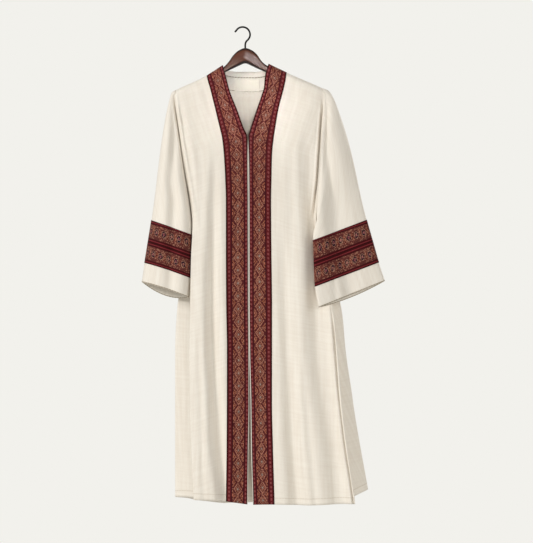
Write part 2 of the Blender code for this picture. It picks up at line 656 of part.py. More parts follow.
# The hanger, in mm: its wooden sections along X, and the wire of its hook.
STEM_X = 8.4
HANGER_SECTIONS = [
    # x, top, bottom, half thickness
    (-215.6, -201.5, -213, 6.5), (-213, -199.5, -215, 8.5), (-195.3, -190.9, -211, 9.5),
    (-148.5, -170.4, -191, 9), (-110, -151.6, -172, 8.5), (-83, -137, -156, 8),
    (-57, -120.4, -140, 8), (-42.4, -104.2, -132.9, 8), (-30, -86.4, -127, 8),
    (-11.2, -69.6, -118.2, 8), (STEM_X, -62.7, -110.8, 8), (27.8, -69, -118.2, 8),
    (44.9, -82.7, -126.4, 8), (59, -103.3, -132.6, 8), (75, -116.8, -139.6, 8),
    (101, -128.9, -150, 8), (137.3, -144.4, -165, 8.5), (179, -162.2, -182, 9),
    (216.5, -178, -197, 9.5), (231, -186, -202.5, 8.5), (233.7, -188.5, -201, 6.5),
]
SECTION_SIDES = 12
# Under 1, this makes a section squarer than an ellipse.
SQUARENESS = 0.8
HOOK_RADIUS = 23.4
WIRE_RADIUS = 2.25
HOOK_BEND = range(150, -41, -19)
HOOK_TIP = (-24.6, -13.25)
HOOK_NECK = [(12.2, -41.5), (9.4, -46.5), (STEM_X, -52), (STEM_X, -62.7 + GAP)]


def oval(x, top, bottom, half):
    """One section of the hanger's arm, from its top round to its top again."""
    ring = []
    for i in range(SECTION_SIDES + 1):
        angle = 2 * math.pi * i / SECTION_SIDES
        wide, high = (math.copysign(abs(v) ** SQUARENESS, v) for v in (math.sin(angle), math.cos(angle)))
        ring.append((x, half * wide, (top + bottom) / 2 + (top - bottom) / 2 * high))
    return ring


def build_hanger(finish_wood, finish_metal, parent):
    """The wooden body is a loft of oval sections along X. The hook is one bent wire."""
    mesh = mesh_of("hanger_body", [np.array([oval(*section) for section in HANGER_SECTIONS])])
    shape = bmesh.new()
    shape.from_mesh(mesh)
    bmesh.ops.holes_fill(shape, edges=[edge for edge in shape.edges if edge.is_boundary])
    bmesh.ops.recalc_face_normals(shape, faces=shape.faces)
    shape.to_mesh(mesh)
    shape.free()
    add_piece("hanger_body", mesh, finish_wood, parent)

    centre_z = WIRE_RADIUS - HOOK_RADIUS
    route = [HOOK_TIP]
    for degrees in HOOK_BEND:
        angle = math.radians(degrees)
        route.append((HOOK_RADIUS * math.cos(angle), centre_z + HOOK_RADIUS * math.sin(angle)))
    route += HOOK_NECK
    curve = bpy.data.curves.new("hook", "CURVE")
    curve.dimensions = "3D"
    curve.bevel_depth = WIRE_RADIUS * MM
    curve.bevel_resolution = 2
    curve.use_fill_caps = True
    line = curve.splines.new("POLY")
    line.points.add(len(route) - 1)
    for point, (x, z) in zip(line.points, route):
        point.co = (x * MM, 0, z * MM, 1)
    hook = bpy.data.objects.new("hook", curve)
    curve.materials.append(finish_metal)
    bpy.data.collections["abaya"].objects.link(hook)
    hook.parent = parent


def build_body(parent):
    linen = material("cream linen", CREAM, 0.85)
    ribbon = material("woven ribbon", MAROON, 0.7)
    lining = material("cream linen facing", CREAM_INSIDE, 0.85)
    for side in (RIGHT, LEFT):
        grid = front_grid(side)
        add_cloth(f"front_{side.name}", [grid], CLOTH_WALL, linen, parent, side.name == "right")
        raised = moved_out(grid, side.outward * RIBBON_LIFT)[:, :BAND_PLACES]
        step = raised[:, 1] - raised[:, 0]
        raised[:, 0] += step * (RIBBON_INSET / np.linalg.norm(step, axis=1))[:, None]
        raised[0, :, 1] -= GAP
        add_cloth(f"ribbon_front_{side.name}", [raised], RIBBON_WALL, ribbon, parent, side.name == "right")

    back, neck = back_grid(), neck_grid()
    add_cloth("back", [back, neck], CLOTH_WALL, linen, parent, False)
    outer = moved_out(neck, -RIBBON_LIFT)
    outer[:, (0, -1), 1] += GAP
    outer[-1] += (outer[-2] - outer[-1]) * EDGE_DRAWN_UP
    outer[-1, :, 1] += GAP
    add_cloth("ribbon_back", [outer], RIBBON_WALL, ribbon, parent, False)
    sunk = CLOTH_WALL / 2 + GAP + LINING_WALL / 2
    inner = moved_out(neck, sunk)
    # Both linings stop short of the shoulder seams, and stand apart from each other.
    first, last = LINING_MARGIN, len(NECK_PLACES) - LINING_MARGIN
    collar = inner[:2, first:last].copy()
    collar[1] += (collar[0] - collar[1]) * COLLAR_DRAWN_UP
    add_cloth("neck_band", [collar], LINING_WALL, lining, parent, False)
    facing = inner[1:, first:last].copy()
    facing[-1] += (facing[-2] - facing[-1]) * FACING_DRAWN_UP
    add_cloth("neck_facing", [facing], LINING_WALL, lining, parent, False)
    middle = facing[:, LABEL_CLEARS:-LABEL_CLEARS]
    label = np.array([
        [on_neck(middle, x, z) for x in np.linspace(LABEL_LEFT, LABEL_RIGHT, LABEL_COLUMNS)]
        for z in np.linspace(LABEL_TOP, LABEL_BOTTOM, LABEL_ROWS)
    ])
    label = moved_out(label, LINING_WALL / 2 + LABEL_LIFT + LABEL_WALL / 2)
    satin = material("label satin", LABEL_CREAM, 0.55)
    add_cloth("label", [label], LABEL_WALL, satin, parent, False)


def build_sleeves(parent):
    linen = material("cream linen", CREAM, 0.85)
    ribbon = material("woven ribbon", MAROON, 0.7)
    for side in (RIGHT, LEFT):
        grid = sleeve_grid(side)
        flip = side.name == "right"
        closed = np.concatenate([grid, grid[:, :1]], axis=1)
        add_cloth(f"sleeve_{side.name}", [closed], CLOTH_WALL, linen, parent, flip)
        raised = moved_out(grid, -side.outward * (RIBBON_LIFT + SLEEVE_EASE), closed=True)
        raised = np.concatenate([raised, raised[:, :1]], axis=1)
        top, middle, bottom = (SLEEVE_RINGS.index(v) for v in (RIBBON_TOP, RIBBON_MIDDLE, RIBBON_BOTTOM))
        upper = raised[top : middle + 1].copy()
        upper[-1] += (upper[-2] - upper[-1]) * UPPER_RIBBON_DRAWN_UP
        add_cloth(f"sleeve_ribbon_upper_{side.name}", [upper], RIBBON_WALL, ribbon, parent, flip)
        add_cloth(f"sleeve_ribbon_lower_{side.name}", [raised[middle : bottom + 1]], RIBBON_WALL, ribbon,
                  parent, flip)


def build():
    for old in list(bpy.data.objects):
        bpy.data.objects.remove(old)
    collection = bpy.data.collections.new("abaya")
    bpy.context.scene.collection.children.link(collection)
    frame = bpy.data.objects.new("abaya_on_hanger", None)
    collection.objects.link(frame)
    build_hanger(material("walnut", WALNUT, 0.35), material("gunmetal wire", GUNMETAL, 0.35, 1.0), frame)
    build_body(frame)
    build_sleeves(frame)


build()
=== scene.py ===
"""The look of an open front abaya of cream linen with woven ribbon, hung on a wooden hanger.

Sizes are in millimetres in the part's own frame, and the studio's in metres: X towards the wearer's
left, the front faces -Y, Z up, and the origin inside the top of the hook. The right side is the
wearer's right, at -X.
"""

import math
from functools import partial

import bmesh
import bpy
import numpy as np
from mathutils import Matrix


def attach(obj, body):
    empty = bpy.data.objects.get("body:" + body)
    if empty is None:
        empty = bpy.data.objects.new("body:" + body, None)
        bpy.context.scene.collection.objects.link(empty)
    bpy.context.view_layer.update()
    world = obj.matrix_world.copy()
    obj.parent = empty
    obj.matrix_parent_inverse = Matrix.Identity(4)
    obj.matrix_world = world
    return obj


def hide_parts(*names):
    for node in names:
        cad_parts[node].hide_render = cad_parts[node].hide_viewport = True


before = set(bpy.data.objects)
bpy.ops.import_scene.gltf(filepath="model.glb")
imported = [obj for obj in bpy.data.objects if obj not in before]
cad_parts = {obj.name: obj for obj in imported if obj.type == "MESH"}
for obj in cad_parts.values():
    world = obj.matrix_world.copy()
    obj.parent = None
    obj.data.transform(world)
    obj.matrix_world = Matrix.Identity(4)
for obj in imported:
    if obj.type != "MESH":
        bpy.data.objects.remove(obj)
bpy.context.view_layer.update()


# View and light: a pale studio with a matt floor well below the hem. A large soft key lamp stands at
# the upper left. Weaker ones fill from the front, from the right and from below, one stands behind,
# and a narrow one reaches into the neck. The camera is far off and level.
CAMERA_X, CAMERA_Z, CAMERA_FAR, VIEW_WIDE, CLIP_FAR = 0.0746, -0.76, 12.0, 1.663, 60.0
FLOOR_Z, FLOOR_RADIUS, FLOOR_SIDES = -1.95, 4.0, 96
# The surround is pale to look at, and lights the garment more weakly than the lamps do.
SURROUND_LIGHT, SURROUND_LOOK = "ADACA9", "F2F1EC"
# What most of the lamps are aimed at.
CHEST = (0.05, 0, -0.75)


def srgb(code):
    """A colour from its sRGB hex code, in the linear values that shaders take."""
    parts = [int(code[i : i + 2], 16) / 255 for i in (0, 2, 4)]
    return (*(v / 12.92 if v <= 0.04045 else ((v + 0.055) / 1.055) ** 2.4 for v in parts), 1.0)


def add(finish, kind, sockets=(), out=0, **settings):
    """One new node in a material or world. Its sockets, by name, by number or in their order, are set
    or linked. A Math kind ends in its operation, and a Mix of colours in RGBA. Returns an output."""
    tree, (kind, *ending) = finish.node_tree, kind.split()
    made = tree.nodes.new("ShaderNode" + kind)
    if ending:
        setattr(made, "operation" if kind == "Math" else "data_type", ending[0])
    for name, value in settings.items():
        setattr(made, name, value)
    for place, value in sockets.items() if isinstance(sockets, dict) else enumerate(sockets):
        if isinstance(value, bpy.types.NodeSocket):
            tree.links.new(value, made.inputs[place])
        else:
            made.inputs[place].default_value = value
    return made.outputs[out]


def surface(name, roughness, colour=None, sockets=None):
    """A material named for what it is, with the values that are the same all over it."""
    finish = bpy.data.materials.new(name)
    finish.use_nodes = True
    shader = finish.node_tree.nodes["Principled BSDF"]
    shader.inputs["Roughness"].default_value = roughness
    if colour:
        shader.inputs["Base Color"].default_value = srgb(colour)
    for socket, value in (sockets or {}).items():
        shader.inputs[socket].default_value = value
    return finish


def soft_light(name, place, aim, size, watts, spread=180):
    """A round lamp: its place, what it is aimed at, its size in metres, and its spread in degrees."""
    lamp = bpy.data.lights.new(name, "AREA")
    lamp.shape, lamp.size, lamp.energy, lamp.spread = "DISK", size, watts, math.radians(spread)
    made = bpy.data.objects.new(name, lamp)
    made.location = place
    step = np.array(aim, float) - np.array(place, float)
    made.rotation_euler = (
        math.acos(-step[2] / np.linalg.norm(step)), 0, math.atan2(step[1], step[0]) - math.pi / 2
    )
    bpy.context.scene.collection.objects.link(made)


camera = bpy.data.objects.new("camera", bpy.data.cameras.new("camera"))
camera.data.sensor_fit = "HORIZONTAL"
camera.data.lens = camera.data.sensor_width * CAMERA_FAR / VIEW_WIDE
camera.data.clip_end = CLIP_FAR
camera.location = (CAMERA_X, -CAMERA_FAR, CAMERA_Z)
camera.rotation_euler = (math.radians(90), 0, 0)
bpy.context.scene.collection.objects.link(camera)
bpy.context.scene.camera = camera

world = bpy.data.worlds.new("pale studio")
bpy.context.scene.world = world
world.use_nodes = True
surround = {0: add(world, "LightPath"), 6: srgb(SURROUND_LIGHT), 7: srgb(SURROUND_LOOK)}
surround = add(world, "Mix RGBA", surround, out=2)
world.node_tree.links.new(surround, world.node_tree.nodes["Background"].inputs["Color"])
bpy.context.scene.view_settings.view_transform = "Standard"

soft_light("key", (-7.0, -4.9, 2.8), CHEST, 2.6, 490)
soft_light("front fill", (0.9, -6.6, 0.4), CHEST, 1.2, 56)
soft_light("neck light", (0.15, -2.4, -0.2), (0.018, 0, -0.25), 0.2, 0.07, spread=8)
soft_light("right fill", (2.1, -1.9, -0.3), (0.42, 0, -0.7), 0.7, 9)
soft_light("low fill", (-0.6, -4.6, -3.4), (0.0, 0, -0.8), 1.2, 16)
soft_light("back light", (3.2, 3.4, 1.2), CHEST, 1.6, 110)

floor_shape = bmesh.new()
bmesh.ops.create_circle(floor_shape, cap_ends=True, segments=FLOOR_SIDES, radius=FLOOR_RADIUS)
bmesh.ops.translate(floor_shape, verts=floor_shape.verts, vec=(0, 0, FLOOR_Z))
floor_mesh = bpy.data.meshes.new("floor")
floor_shape.to_mesh(floor_mesh)
floor_shape.free()
floor_mesh.materials.append(surface("studio floor, painted matt", 0.9, "E9E8E3"))
floor = bpy.data.objects.new("floor", floor_mesh)
bpy.context.scene.collection.objects.link(floor)


# The hanger's body: a shaped bar of walnut, stained dark and lacquered. Its section is a squared
# oval, and it has a low boss round the hook's foot and two rounded ends.


def smooth(t, start, end, leaving, arriving):
    """A smooth curve from start to end, with its slope where it leaves and where it arrives."""
    return (
        start * (1 + 2 * t) * (1 - t) ** 2
        + leaving * t * (1 - t) ** 2
        + end * t * t * (3 - 2 * t)
        + arriving * t * t * (t - 1)
    )


class Table:
    """Rows of sizes in mm with a comma between them and named columns, read smoothly by the first."""

    def __init__(self, names, rows):
        ordered = np.array(sorted([float(size) for size in row.split()] for row in rows.split(",")))
        self.key = ordered[:, 0]
        self.columns = {name: ordered[:, i] for i, name in enumerate(names.split())}
        self.slopes = {name: self.tangents(column) for name, column in self.columns.items()}

    def tangents(self, column):
        step = np.diff(self.key)
        slope = np.diff(column) / step
        tangent = np.concatenate([slope[:1], np.zeros(len(slope) - 1), slope[-1:]])
        for i in range(1, len(slope)):
            if slope[i - 1] * slope[i] > 0:
                before = 2 * step[i] + step[i - 1]
                after = step[i] + 2 * step[i - 1]
                tangent[i] = (before + after) / (before / slope[i - 1] + after / slope[i])
        return tangent

    def at(self, name, key):
        column, slope = self.columns[name], self.slopes[name]
        key = np.clip(key, self.key[0], self.key[-1])
        i = np.clip(np.searchsorted(self.key, key) - 1, 0, len(self.key) - 2)
        step = self.key[i + 1] - self.key[i]
        t = (key - self.key[i]) / step
        return smooth(t, column[i], column[i + 1], step * slope[i], step * slope[i + 1])


ARM = Table("x top bottom half", """
    -215.6 -201.5 -213 6.5, -213 -199.5 -215 8.5, -195.3 -190.9 -211 9.5, -148.5 -170.4 -191 9,
    -110 -151.6 -172 8.5, -83 -137 -156 8, -57 -120.4 -140 8, -42.4 -104.2 -132.9 8, -30 -86.4 -127 8,
    -11.2 -69.6 -118.2 8, 8.4 -62.7 -110.8 8, 27.8 -69 -118.2 8, 44.9 -82.7 -126.4 8, 59 -103.3 -132.6 8,
    75 -116.8 -139.6 8, 101 -128.9 -150 8, 137.3 -144.4 -165 8.5, 179 -162.2 -182 9, 216.5 -178 -197 9.5,
    231 -186 -202.5 8.5, 233.7 -188.5 -201 6.5
""")
ARM_STEP, ARM_SIDES, ARM_END = 4.0, 40, 5.0
# How wide the bar is at its very ends, as a share, and how near the ends its rings stand.
END_SHARE, END_RINGS = 0.35, (0, 0.4, 1, 2, 3.4)
BOSS_X, BOSS_TALL, BOSS_WIDE = 8.4, 3.0, 24.0
# Under 1, this makes a section squarer than an ellipse.
SQUARENESS = 0.5
# The grain runs along the bar: how many times it repeats in a metre along X, Y and Z.
GRAIN = (22, 60, 420)
# Painted shade darkens the bar's edges from the first of these turns upwards and is darkest at the
# second. A turn downwards counts this many times, as the underside is painted darker still.
EDGE_SHADE_FROM, EDGE_SHADE_TO, UNDERSIDE_SHADE = 0.1, 0.42, 1.8
# A millimetre in metres, and how near to each other points are welded, in metres.
MM, WELD = 0.001, 0.00002


def run(grid, axis):
    """The length in mm from the first point of each row or column to every point in it."""
    step = np.linalg.norm(np.diff(grid, axis=axis), axis=2)
    start = np.zeros_like(step[:, :1] if axis else step[:1])
    return np.concatenate([start, np.cumsum(step, axis=axis)], axis=axis)


def lengths(grid):
    """UVs in mm: across from the first column and down from the first row."""
    return np.stack([run(grid, 1), run(grid, 0)], axis=2)


def mesh_of(name, grids, places):
    """One mesh from grids of points in mm, welded where they meet. Its UVs are in mm, and in a
    second map they count up from the last row."""
    shape = bmesh.new()
    for grid in grids:
        rows, columns = grid.shape[:2]
        bmesh.ops.create_grid(shape, x_segments=columns - 1, y_segments=rows - 1, size=1)
    mesh = bpy.data.meshes.new(name)
    shape.to_mesh(mesh)
    points = np.concatenate([grid.reshape(-1, 3) for grid in grids]) * MM
    mesh.vertices.foreach_set("co", points.ravel())
    corners = np.empty(len(mesh.loops), int)
    mesh.loops.foreach_get("vertex_index", corners)
    from_hem = [np.stack([place[..., 0], place[-1:, :, 1] - place[..., 1]], axis=2) for place in places]
    for layer, given in (("mm", places), ("from hem", from_hem)):
        flat = np.concatenate([place.reshape(-1, 2) for place in given])
        mesh.uv_layers.new(name=layer).data.foreach_set("uv", flat[corners].ravel())
    shape.clear()
    shape.from_mesh(mesh)
    bmesh.ops.remove_doubles(shape, verts=shape.verts, dist=WELD)
    return shape, mesh


def place_piece(name, shape, mesh, finish, node):
    """The finished mesh as a piece that rides on the body and stands for a CAD node."""
    shape.to_mesh(mesh)
    shape.free()
    mesh.materials.append(finish)
    mesh.shade_smooth()
    piece = bpy.data.objects.new(name, mesh)
    bpy.context.scene.collection.objects.link(piece)
    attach(piece, "root")
    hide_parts(node)
    return piece


def solid(name, grid, finish, node):
    """A closed piece from rings of points, its ends filled."""
    shape, mesh = mesh_of(name, [grid], [lengths(grid)])
    bmesh.ops.holes_fill(shape, edges=[edge for edge in shape.edges if edge.is_boundary])
    bmesh.ops.recalc_face_normals(shape, faces=shape.faces)
    place_piece(name, shape, mesh, finish, node)


def wear(finish, socket, value):
    """Links a node's output to one socket of the material's shader."""
    finish.node_tree.links.new(value, finish.node_tree.nodes["Principled BSDF"].inputs[socket])


def arm_ring(x):
    end = min(x - ARM.key[0], ARM.key[-1] - x, ARM_END) / ARM_END
    shrink = END_SHARE + (1 - END_SHARE) * math.sqrt(1 - (1 - end) ** 2)
    top, bottom, half = (ARM.at(name, x) for name in ("top", "bottom", "half"))
    half += BOSS_TALL * math.exp(-(((x - BOSS_X) / BOSS_WIDE) ** 2))
    angle = np.linspace(0, 2 * math.pi, ARM_SIDES + 1)
    wide, high = (np.sign(v) * np.abs(v) ** SQUARENESS for v in (np.sin(angle), np.cos(angle)))
    z = (top + bottom) / 2 + (top - bottom) / 2 * shrink * high
    return np.stack([np.full_like(angle, x), half * shrink * wide, z], axis=-1)


end_rings = np.array(END_RINGS)
arm_xs = np.concatenate([
    ARM.key[0] + end_rings, np.arange(ARM.key[0] + ARM_END, ARM.key[-1] - ARM_END, ARM_STEP),
    [ARM.key[-1] - ARM_END], ARM.key[-1] - end_rings[::-1],
])
# Satin lacquer gives a soft gloss along the bar's front.
walnut = surface("walnut, dark stain under satin lacquer", 0.27, sockets={"Specular IOR Level": 0.42})
grain = add(walnut, "Mapping", {0: add(walnut, "TexCoord", out=3), 3: GRAIN})
grain = add(walnut, "TexNoise", {"Vector": grain, "Scale": 1.0, "Detail": 5.0, "Roughness": 0.6})
stained_and_shaded = add(walnut, "Mix RGBA", {0: grain, 6: srgb("32170D"), 7: srgb("743C22")}, out=2)
# Painted shade, not stain: the rounded edges are painted darker where the surface turns up, and
# more so where it turns down, standing for the shade there.
upwards = add(walnut, "SeparateXYZ", (add(walnut, "TexCoord", out=1),), out=2)
downwards = add(walnut, "Math MULTIPLY", (upwards, -UNDERSIDE_SHADE))
turned = add(walnut, "Math MAXIMUM", (upwards, downwards))
edges = add(walnut, "MapRange", (turned, EDGE_SHADE_FROM, EDGE_SHADE_TO))
stained_and_shaded = add(walnut, "Mix RGBA", {0: edges, 6: stained_and_shaded, 7: srgb("1C0D0A")}, out=2)
wear(walnut, "Base Color", stained_and_shaded)
solid("hanger_visual", np.array([arm_ring(x) for x in arm_xs]), walnut, "hanger_body")


# The hook: one bent wire, plated black nickel, screwed into the top of the hanger.
# It bends round a circle from its tip, then turns down to its foot.
HOOK_RADIUS, WIRE_RADIUS, WIRE_SIDES = 23.4, 2.8, 20
BEND_FROM, BEND_TO, BEND_STEP, WIRE_RINGS = 150, -41, -19, 8
# The tip is rounded over this length. Its very end keeps a little width.
TIP_ROUND, TIP_SHARE = 2.0, 0.9
HOOK_TIP = (-24.6, -13.25)
HOOK_NECK = [(12.2, -41.5), (9.4, -46.5), (8.4, -52), (8.4, -62.4)]


def through(knots, places):
    """Points on smooth curves through rows of knots, at places counted in knots."""
    knots, places = np.asarray(knots, float), np.asarray(places, float)
    reach = np.maximum(np.linalg.norm(np.diff(knots, axis=-2), axis=-1, keepdims=True), 1e-6)
    slope = np.diff(knots, axis=-2) / reach
    tangent = np.empty_like(knots)
    tangent[..., 0, :], tangent[..., -1, :] = slope[..., 0, :], slope[..., -1, :]
    near, far = reach[..., :-1, :], reach[..., 1:, :]
    tangent[..., 1:-1, :] = (far * slope[..., :-1, :] + near * slope[..., 1:, :]) / (near + far)
    i = np.minimum(places.astype(int), knots.shape[-2] - 2)
    t = (places - i)[:, None]
    leaving, arriving = (reach[..., i, :] * tangent[..., j, :] for j in (i, i + 1))
    return smooth(t, knots[..., i, :], knots[..., i + 1, :], leaving, arriving)


def split(counts):
    """Places along a section counted in knots, with so many steps between each knot and the next."""
    places = [knot + i / count for knot, count in enumerate(counts) for i in range(count)]
    return np.array(places + [float(len(counts))])


def hook_rings():
    centre_z = WIRE_RADIUS - HOOK_RADIUS
    bend = np.radians(np.arange(BEND_FROM, BEND_TO, BEND_STEP))
    route = [HOOK_TIP] + [(HOOK_RADIUS * math.cos(a), centre_z + HOOK_RADIUS * math.sin(a)) for a in bend]
    route = np.array(route + HOOK_NECK)
    line = through(route, split([WIRE_RINGS] * (len(route) - 1)))
    along = np.gradient(line, axis=0)
    along /= np.linalg.norm(along, axis=1)[:, None]
    rings = []
    for (x, z), (dx, dz), far in zip(line, along, run(line[None], 1)[0]):
        radius = WIRE_RADIUS * math.sqrt(1 - (1 - min(far / TIP_ROUND, 1)) ** 2 * TIP_SHARE)
        angle = np.linspace(0, 2 * math.pi, WIRE_SIDES + 1)
        out, side = radius * np.cos(angle), radius * np.sin(angle)
        rings.append(np.stack([x - dz * out, side, z + dx * out], axis=-1))
    return np.array(rings)


# Black nickel is a dark mirror, a little dulled by handling.
gunmetal = surface("gunmetal, black nickel plate", 0.34, "1A1817", {"Metallic": 1.0})
solid("hook_visual", hook_rings(), gunmetal, "hook")


# The two front panels: linen, each cut in one length from shoulder to hem and turned under at
# the side seam. Soft folds fall from the shoulder and the armhole, and widen to the hem.

# Each panel is a grid of points, its columns running down the cloth and its rows across it. These
# tables are the part's own, and give the lines of each side from the shoulder to the hem.
# edge: front edge and neckline. band: the ribbon's outer edge. ridge: the front panel's last fold.
# tuck: where it turns under. seam: armhole and side seam. spread: how far the back armhole lies
# behind the front one. back_tuck and back_ridge: the same folds of the back panel.
SECTION_NAMES = (
    "z edge_x edge_y band_x band_y ridge_x ridge_y tuck_x tuck_y seam_x seam_y spread "
    "back_tuck_x back_tuck_y back_ridge_x back_ridge_y"
)
RIGHT_SECTIONS = Table(SECTION_NAMES, """
    -117 -61.5 -11 -111 -11 -203 -12 -205.5 -11.5 -208 -11 22 -205.5 11.5 -203 12,
    -148 -53 -14 -111 -12 -203 -12 -205.5 -11.5 -208 -11 22 -205.5 11.5 -203 12,
    -194 -41 -17 -100 -16 -203 -12 -205.5 -11.5 -208 -11 22 -205.5 11.5 -203 12,
    -217 -33 -18 -94.5 -18 -212 -17 -211 -13 -209 -10.5 21 -211 12.5 -211 15,
    -251 -19 -20 -86 -21 -208 -22 -206 -15.5 -205 -9.5 19.5 -206 14 -207 19,
    -317 5 -24 -70 -25 -198 -26 -194.5 -17.5 -195 -9 18 -195 15 -198 23,
    -337 14.2 -25 -65 -26 -195 -27 -191 -18 -192 -9 18 -192 15 -195 24,
    -400 16.6 -27 -58 -28 -187 -29 -182 -18.5 -183 -8.5 17 -184 16 -188 27,
    -470 17.6 -28 -54 -30 -175 -31 -170 -19 -171 -7.5 14.5 -172 17 -177 30,
    -540 18.3 -29 -51.8 -31 -163 -33 -157 -20 -159 -6 11 -160 17 -166 32,
    -615 18.5 -30 -51.8 -33 -155 -36 -146 -21 -150 -4 0 -148 12 -157 32,
    -720 18.8 -31 -51.8 -35 -159 -38 -130 -20 -141 0 0 -146 20 -172 44,
    -865 19.2 -33 -51 -38 -161 -42 -105 -18 -138 5 0 -150 28 -203 60,
    -1005 20.4 -36 -48.7 -41 -163 -46 -92 -17 -136 8 0 -152 30 -210.5 64,
    -1161 21 -39 -48.7 -45 -162 -50 -84 -16 -134 10 0 -151 32 -210.8 68,
    -1317 18.7 -43 -48.7 -49 -156 -54 -77 -15 -131 12 0 -149 34 -210.8 72,
    -1475 15.7 -47 -51 -53 -149 -58 -72 -14 -128 14 0 -147 36 -210.8 76
""")
LEFT_SECTIONS = Table(SECTION_NAMES, """
    -113 80.8 -11 137.3 -11 243 -12 245.5 -11.5 248 -11 22 245.5 11.5 243 12,
    -148 70.5 -14 136 -13 243 -12 245.5 -11.5 248 -11 22 245.5 11.5 243 12,
    -188 66.5 -16.5 129 -16 243 -12 245.5 -11.5 248 -11 22 245.5 11.5 243 12,
    -209 60 -17.5 123.5 -17.5 252 -15.5 255 -15.5 258 -16 27 256 13 253 15,
    -254 44.5 -20 112 -21 251 -18.5 255 -19.5 256.5 -22 34 252 14 249 19,
    -318 24 -24.5 101 -25 245 -20 249 -21.5 250 -25 38 246 15 243 23,
    -337 18.6 -25.5 98 -26 243 -20.5 247 -22 248 -25.5 38 244 15 241 24,
    -400 18.0 -27 91.7 -28 238 -21 242 -22.5 243 -26 37 239 16 236 27,
    -470 18.6 -28 90 -29 233 -22 237 -23 238 -26 34 234 17 232 29,
    -540 19.1 -29 88.6 -30 226 -21 230.5 -21.5 232 -23 26 228 17 228 31,
    -615 19.3 -30 89 -32 224 -22 228.5 -18 229 -11 0 227 6 229 28,
    -720 19.5 -31 90 -34 249 -27 243 -15 237 -2 0 238 18 258 38,
    -865 19.9 -33 91.7 -37 280.5 -31 272 -17 262 2 0 266 24 307 54,
    -1005 21.3 -36 91.7 -40 294.3 -38 286 -20 277 2 0 281 28 322.6 60,
    -1161 25 -39 91.7 -44 307 -46 300 -24 290 2 0 293 30 344 66,
    -1317 27 -43 95 -48 325.7 -53 318 -29 308 2 0 311 33 369.5 71,
    -1475 32.5 -47 99.5 -52 348 -60 340 -32 330 0 0 333 36 399 76
""")

# Heights of the top and the hem of each line that runs down a panel.
LINE_NAMES = "edge band middle side back_side".split()
RIGHT_TOP, RIGHT_HEM = (-117, -148, -167, -194, -194), (-1484, -1475, -1471, -1470, -1468)
LEFT_TOP, LEFT_HEM = (-113, -140, -158, -188, -188), (-1485, -1484, -1488, -1480, -1442)
# The shoulder seams: height over the hanger's arms, from the armhole to the neck.
RIGHT_SHOULDER = Table("x z", """
    -208 -194.5, -195.3 -188.3, -148.5 -167.5, -110 -148.6, -86 -134.4, -61.5 -117
""")
LEFT_SHOULDER = Table("x z", "80.8 -113, 137.3 -140, 179 -158.4, 235.2 -182.5, 248 -188.5")

# How far a panel bows out between its folds, and how fast the bow sets in below the top.
FRONT_BOW, BOW_SETS_IN = 5.0, 300.0
# Where the two inner points of a panel's section lie, as shares of the way between its lines, how
# much of the bow the outer one has, and how far the inner one is drawn to the middle's height.
FRONT_INNER, FRONT_OUTER, OUTER_BOW, MIDDLE_DRAW = 0.4, 0.86, 0.7, 0.65
# How much of the panel's length follows its shoulder line.
SHOULDER_REACH = 0.1
# The front folds fade out over this width beside the front edge, and past the ridge, which is knot
# 4 of a section, counted from 0.
EDGE_EASE, RIDGE_PLACE = 60.0, 4
# How the cloth turns over the hanger's arm, and half the gap between front and back on its crest.
ARM_ROUND, CREST_GAP = 12.0, 0.3
UNDERARM_Z, UNDERARM_SHARE = -615.0, 0.33
# The gap left at a seam, and the largest share of the last step that it may take.
SEAM_GAP, SEAM_SHARE = 0.6, 0.6
LINEN_WALL, ROW_STEP = 1.1, 0.006
FRONT_COUNTS = [28, 18, 26, 18, 14, 8]
# The cloth's fine ripples: how tall they are, how many waves make them, the least and the most that
# a wave measures across and down the cloth, and how far in from the edges and the top they fade.
RIPPLE_TALL, RIPPLE_WAVES = 0.3, 7
RIPPLE_ACROSS, RIPPLE_DOWN = (26, 75), (500, 1600)
RIPPLE_EDGE, RIPPLE_TOP = 30, 80
RIPPLE_SEEDS = {"right": 5, "left": 4, "back": 9}
# Soft folds: each is a trough that follows a line down the cloth, with a low lip on both sides.
# Lips lie this many widths from the line, and rise by this share of the depth.
LIP_AT, LIP_SHARE = 1.7, 0.25


def eased(t):
    t = np.clip(t, 0, 1)
    return t * t * (3 - 2 * t)


def finer(rows, step):
    """The rows with more between them, at most a step apart."""
    made = []
    for start, end in zip(rows, rows[1:]):
        made += list(np.linspace(start, end, max(1, math.ceil((end - start) / step)), endpoint=False))
    return np.array(made + [rows[-1]])


def normals(grid, closed=False):
    """Unit normals at a grid's points."""
    if closed:
        ring = grid[:, :-1]
        across = np.roll(ring, -1, axis=1) - np.roll(ring, 1, axis=1)
        across = np.concatenate([across, across[:, :1]], axis=1)
    else:
        across = np.gradient(grid, axis=1)
    normal = np.cross(np.gradient(grid, axis=0), across)
    return normal / np.maximum(np.linalg.norm(normal, axis=2), 1e-9)[:, :, None]


def cloth(name, grids, wall, finish, places=None):
    """A thin shell of cloth on grids of points, with its UVs in mm."""
    shape, mesh = mesh_of(name + "_visual", grids, places or [lengths(grid) for grid in grids])
    piece = place_piece(name + "_visual", shape, mesh, finish, name)
    thicken = piece.modifiers.new("wall", "SOLIDIFY")
    thicken.thickness, thicken.offset = wall * MM, 0.0
    thicken.use_quality_normals = True


def folds(rows):
    """A group of folds, with a semicolon between one and the next."""
    return [Table("z x width depth", fold) for fold in rows.split(";")]


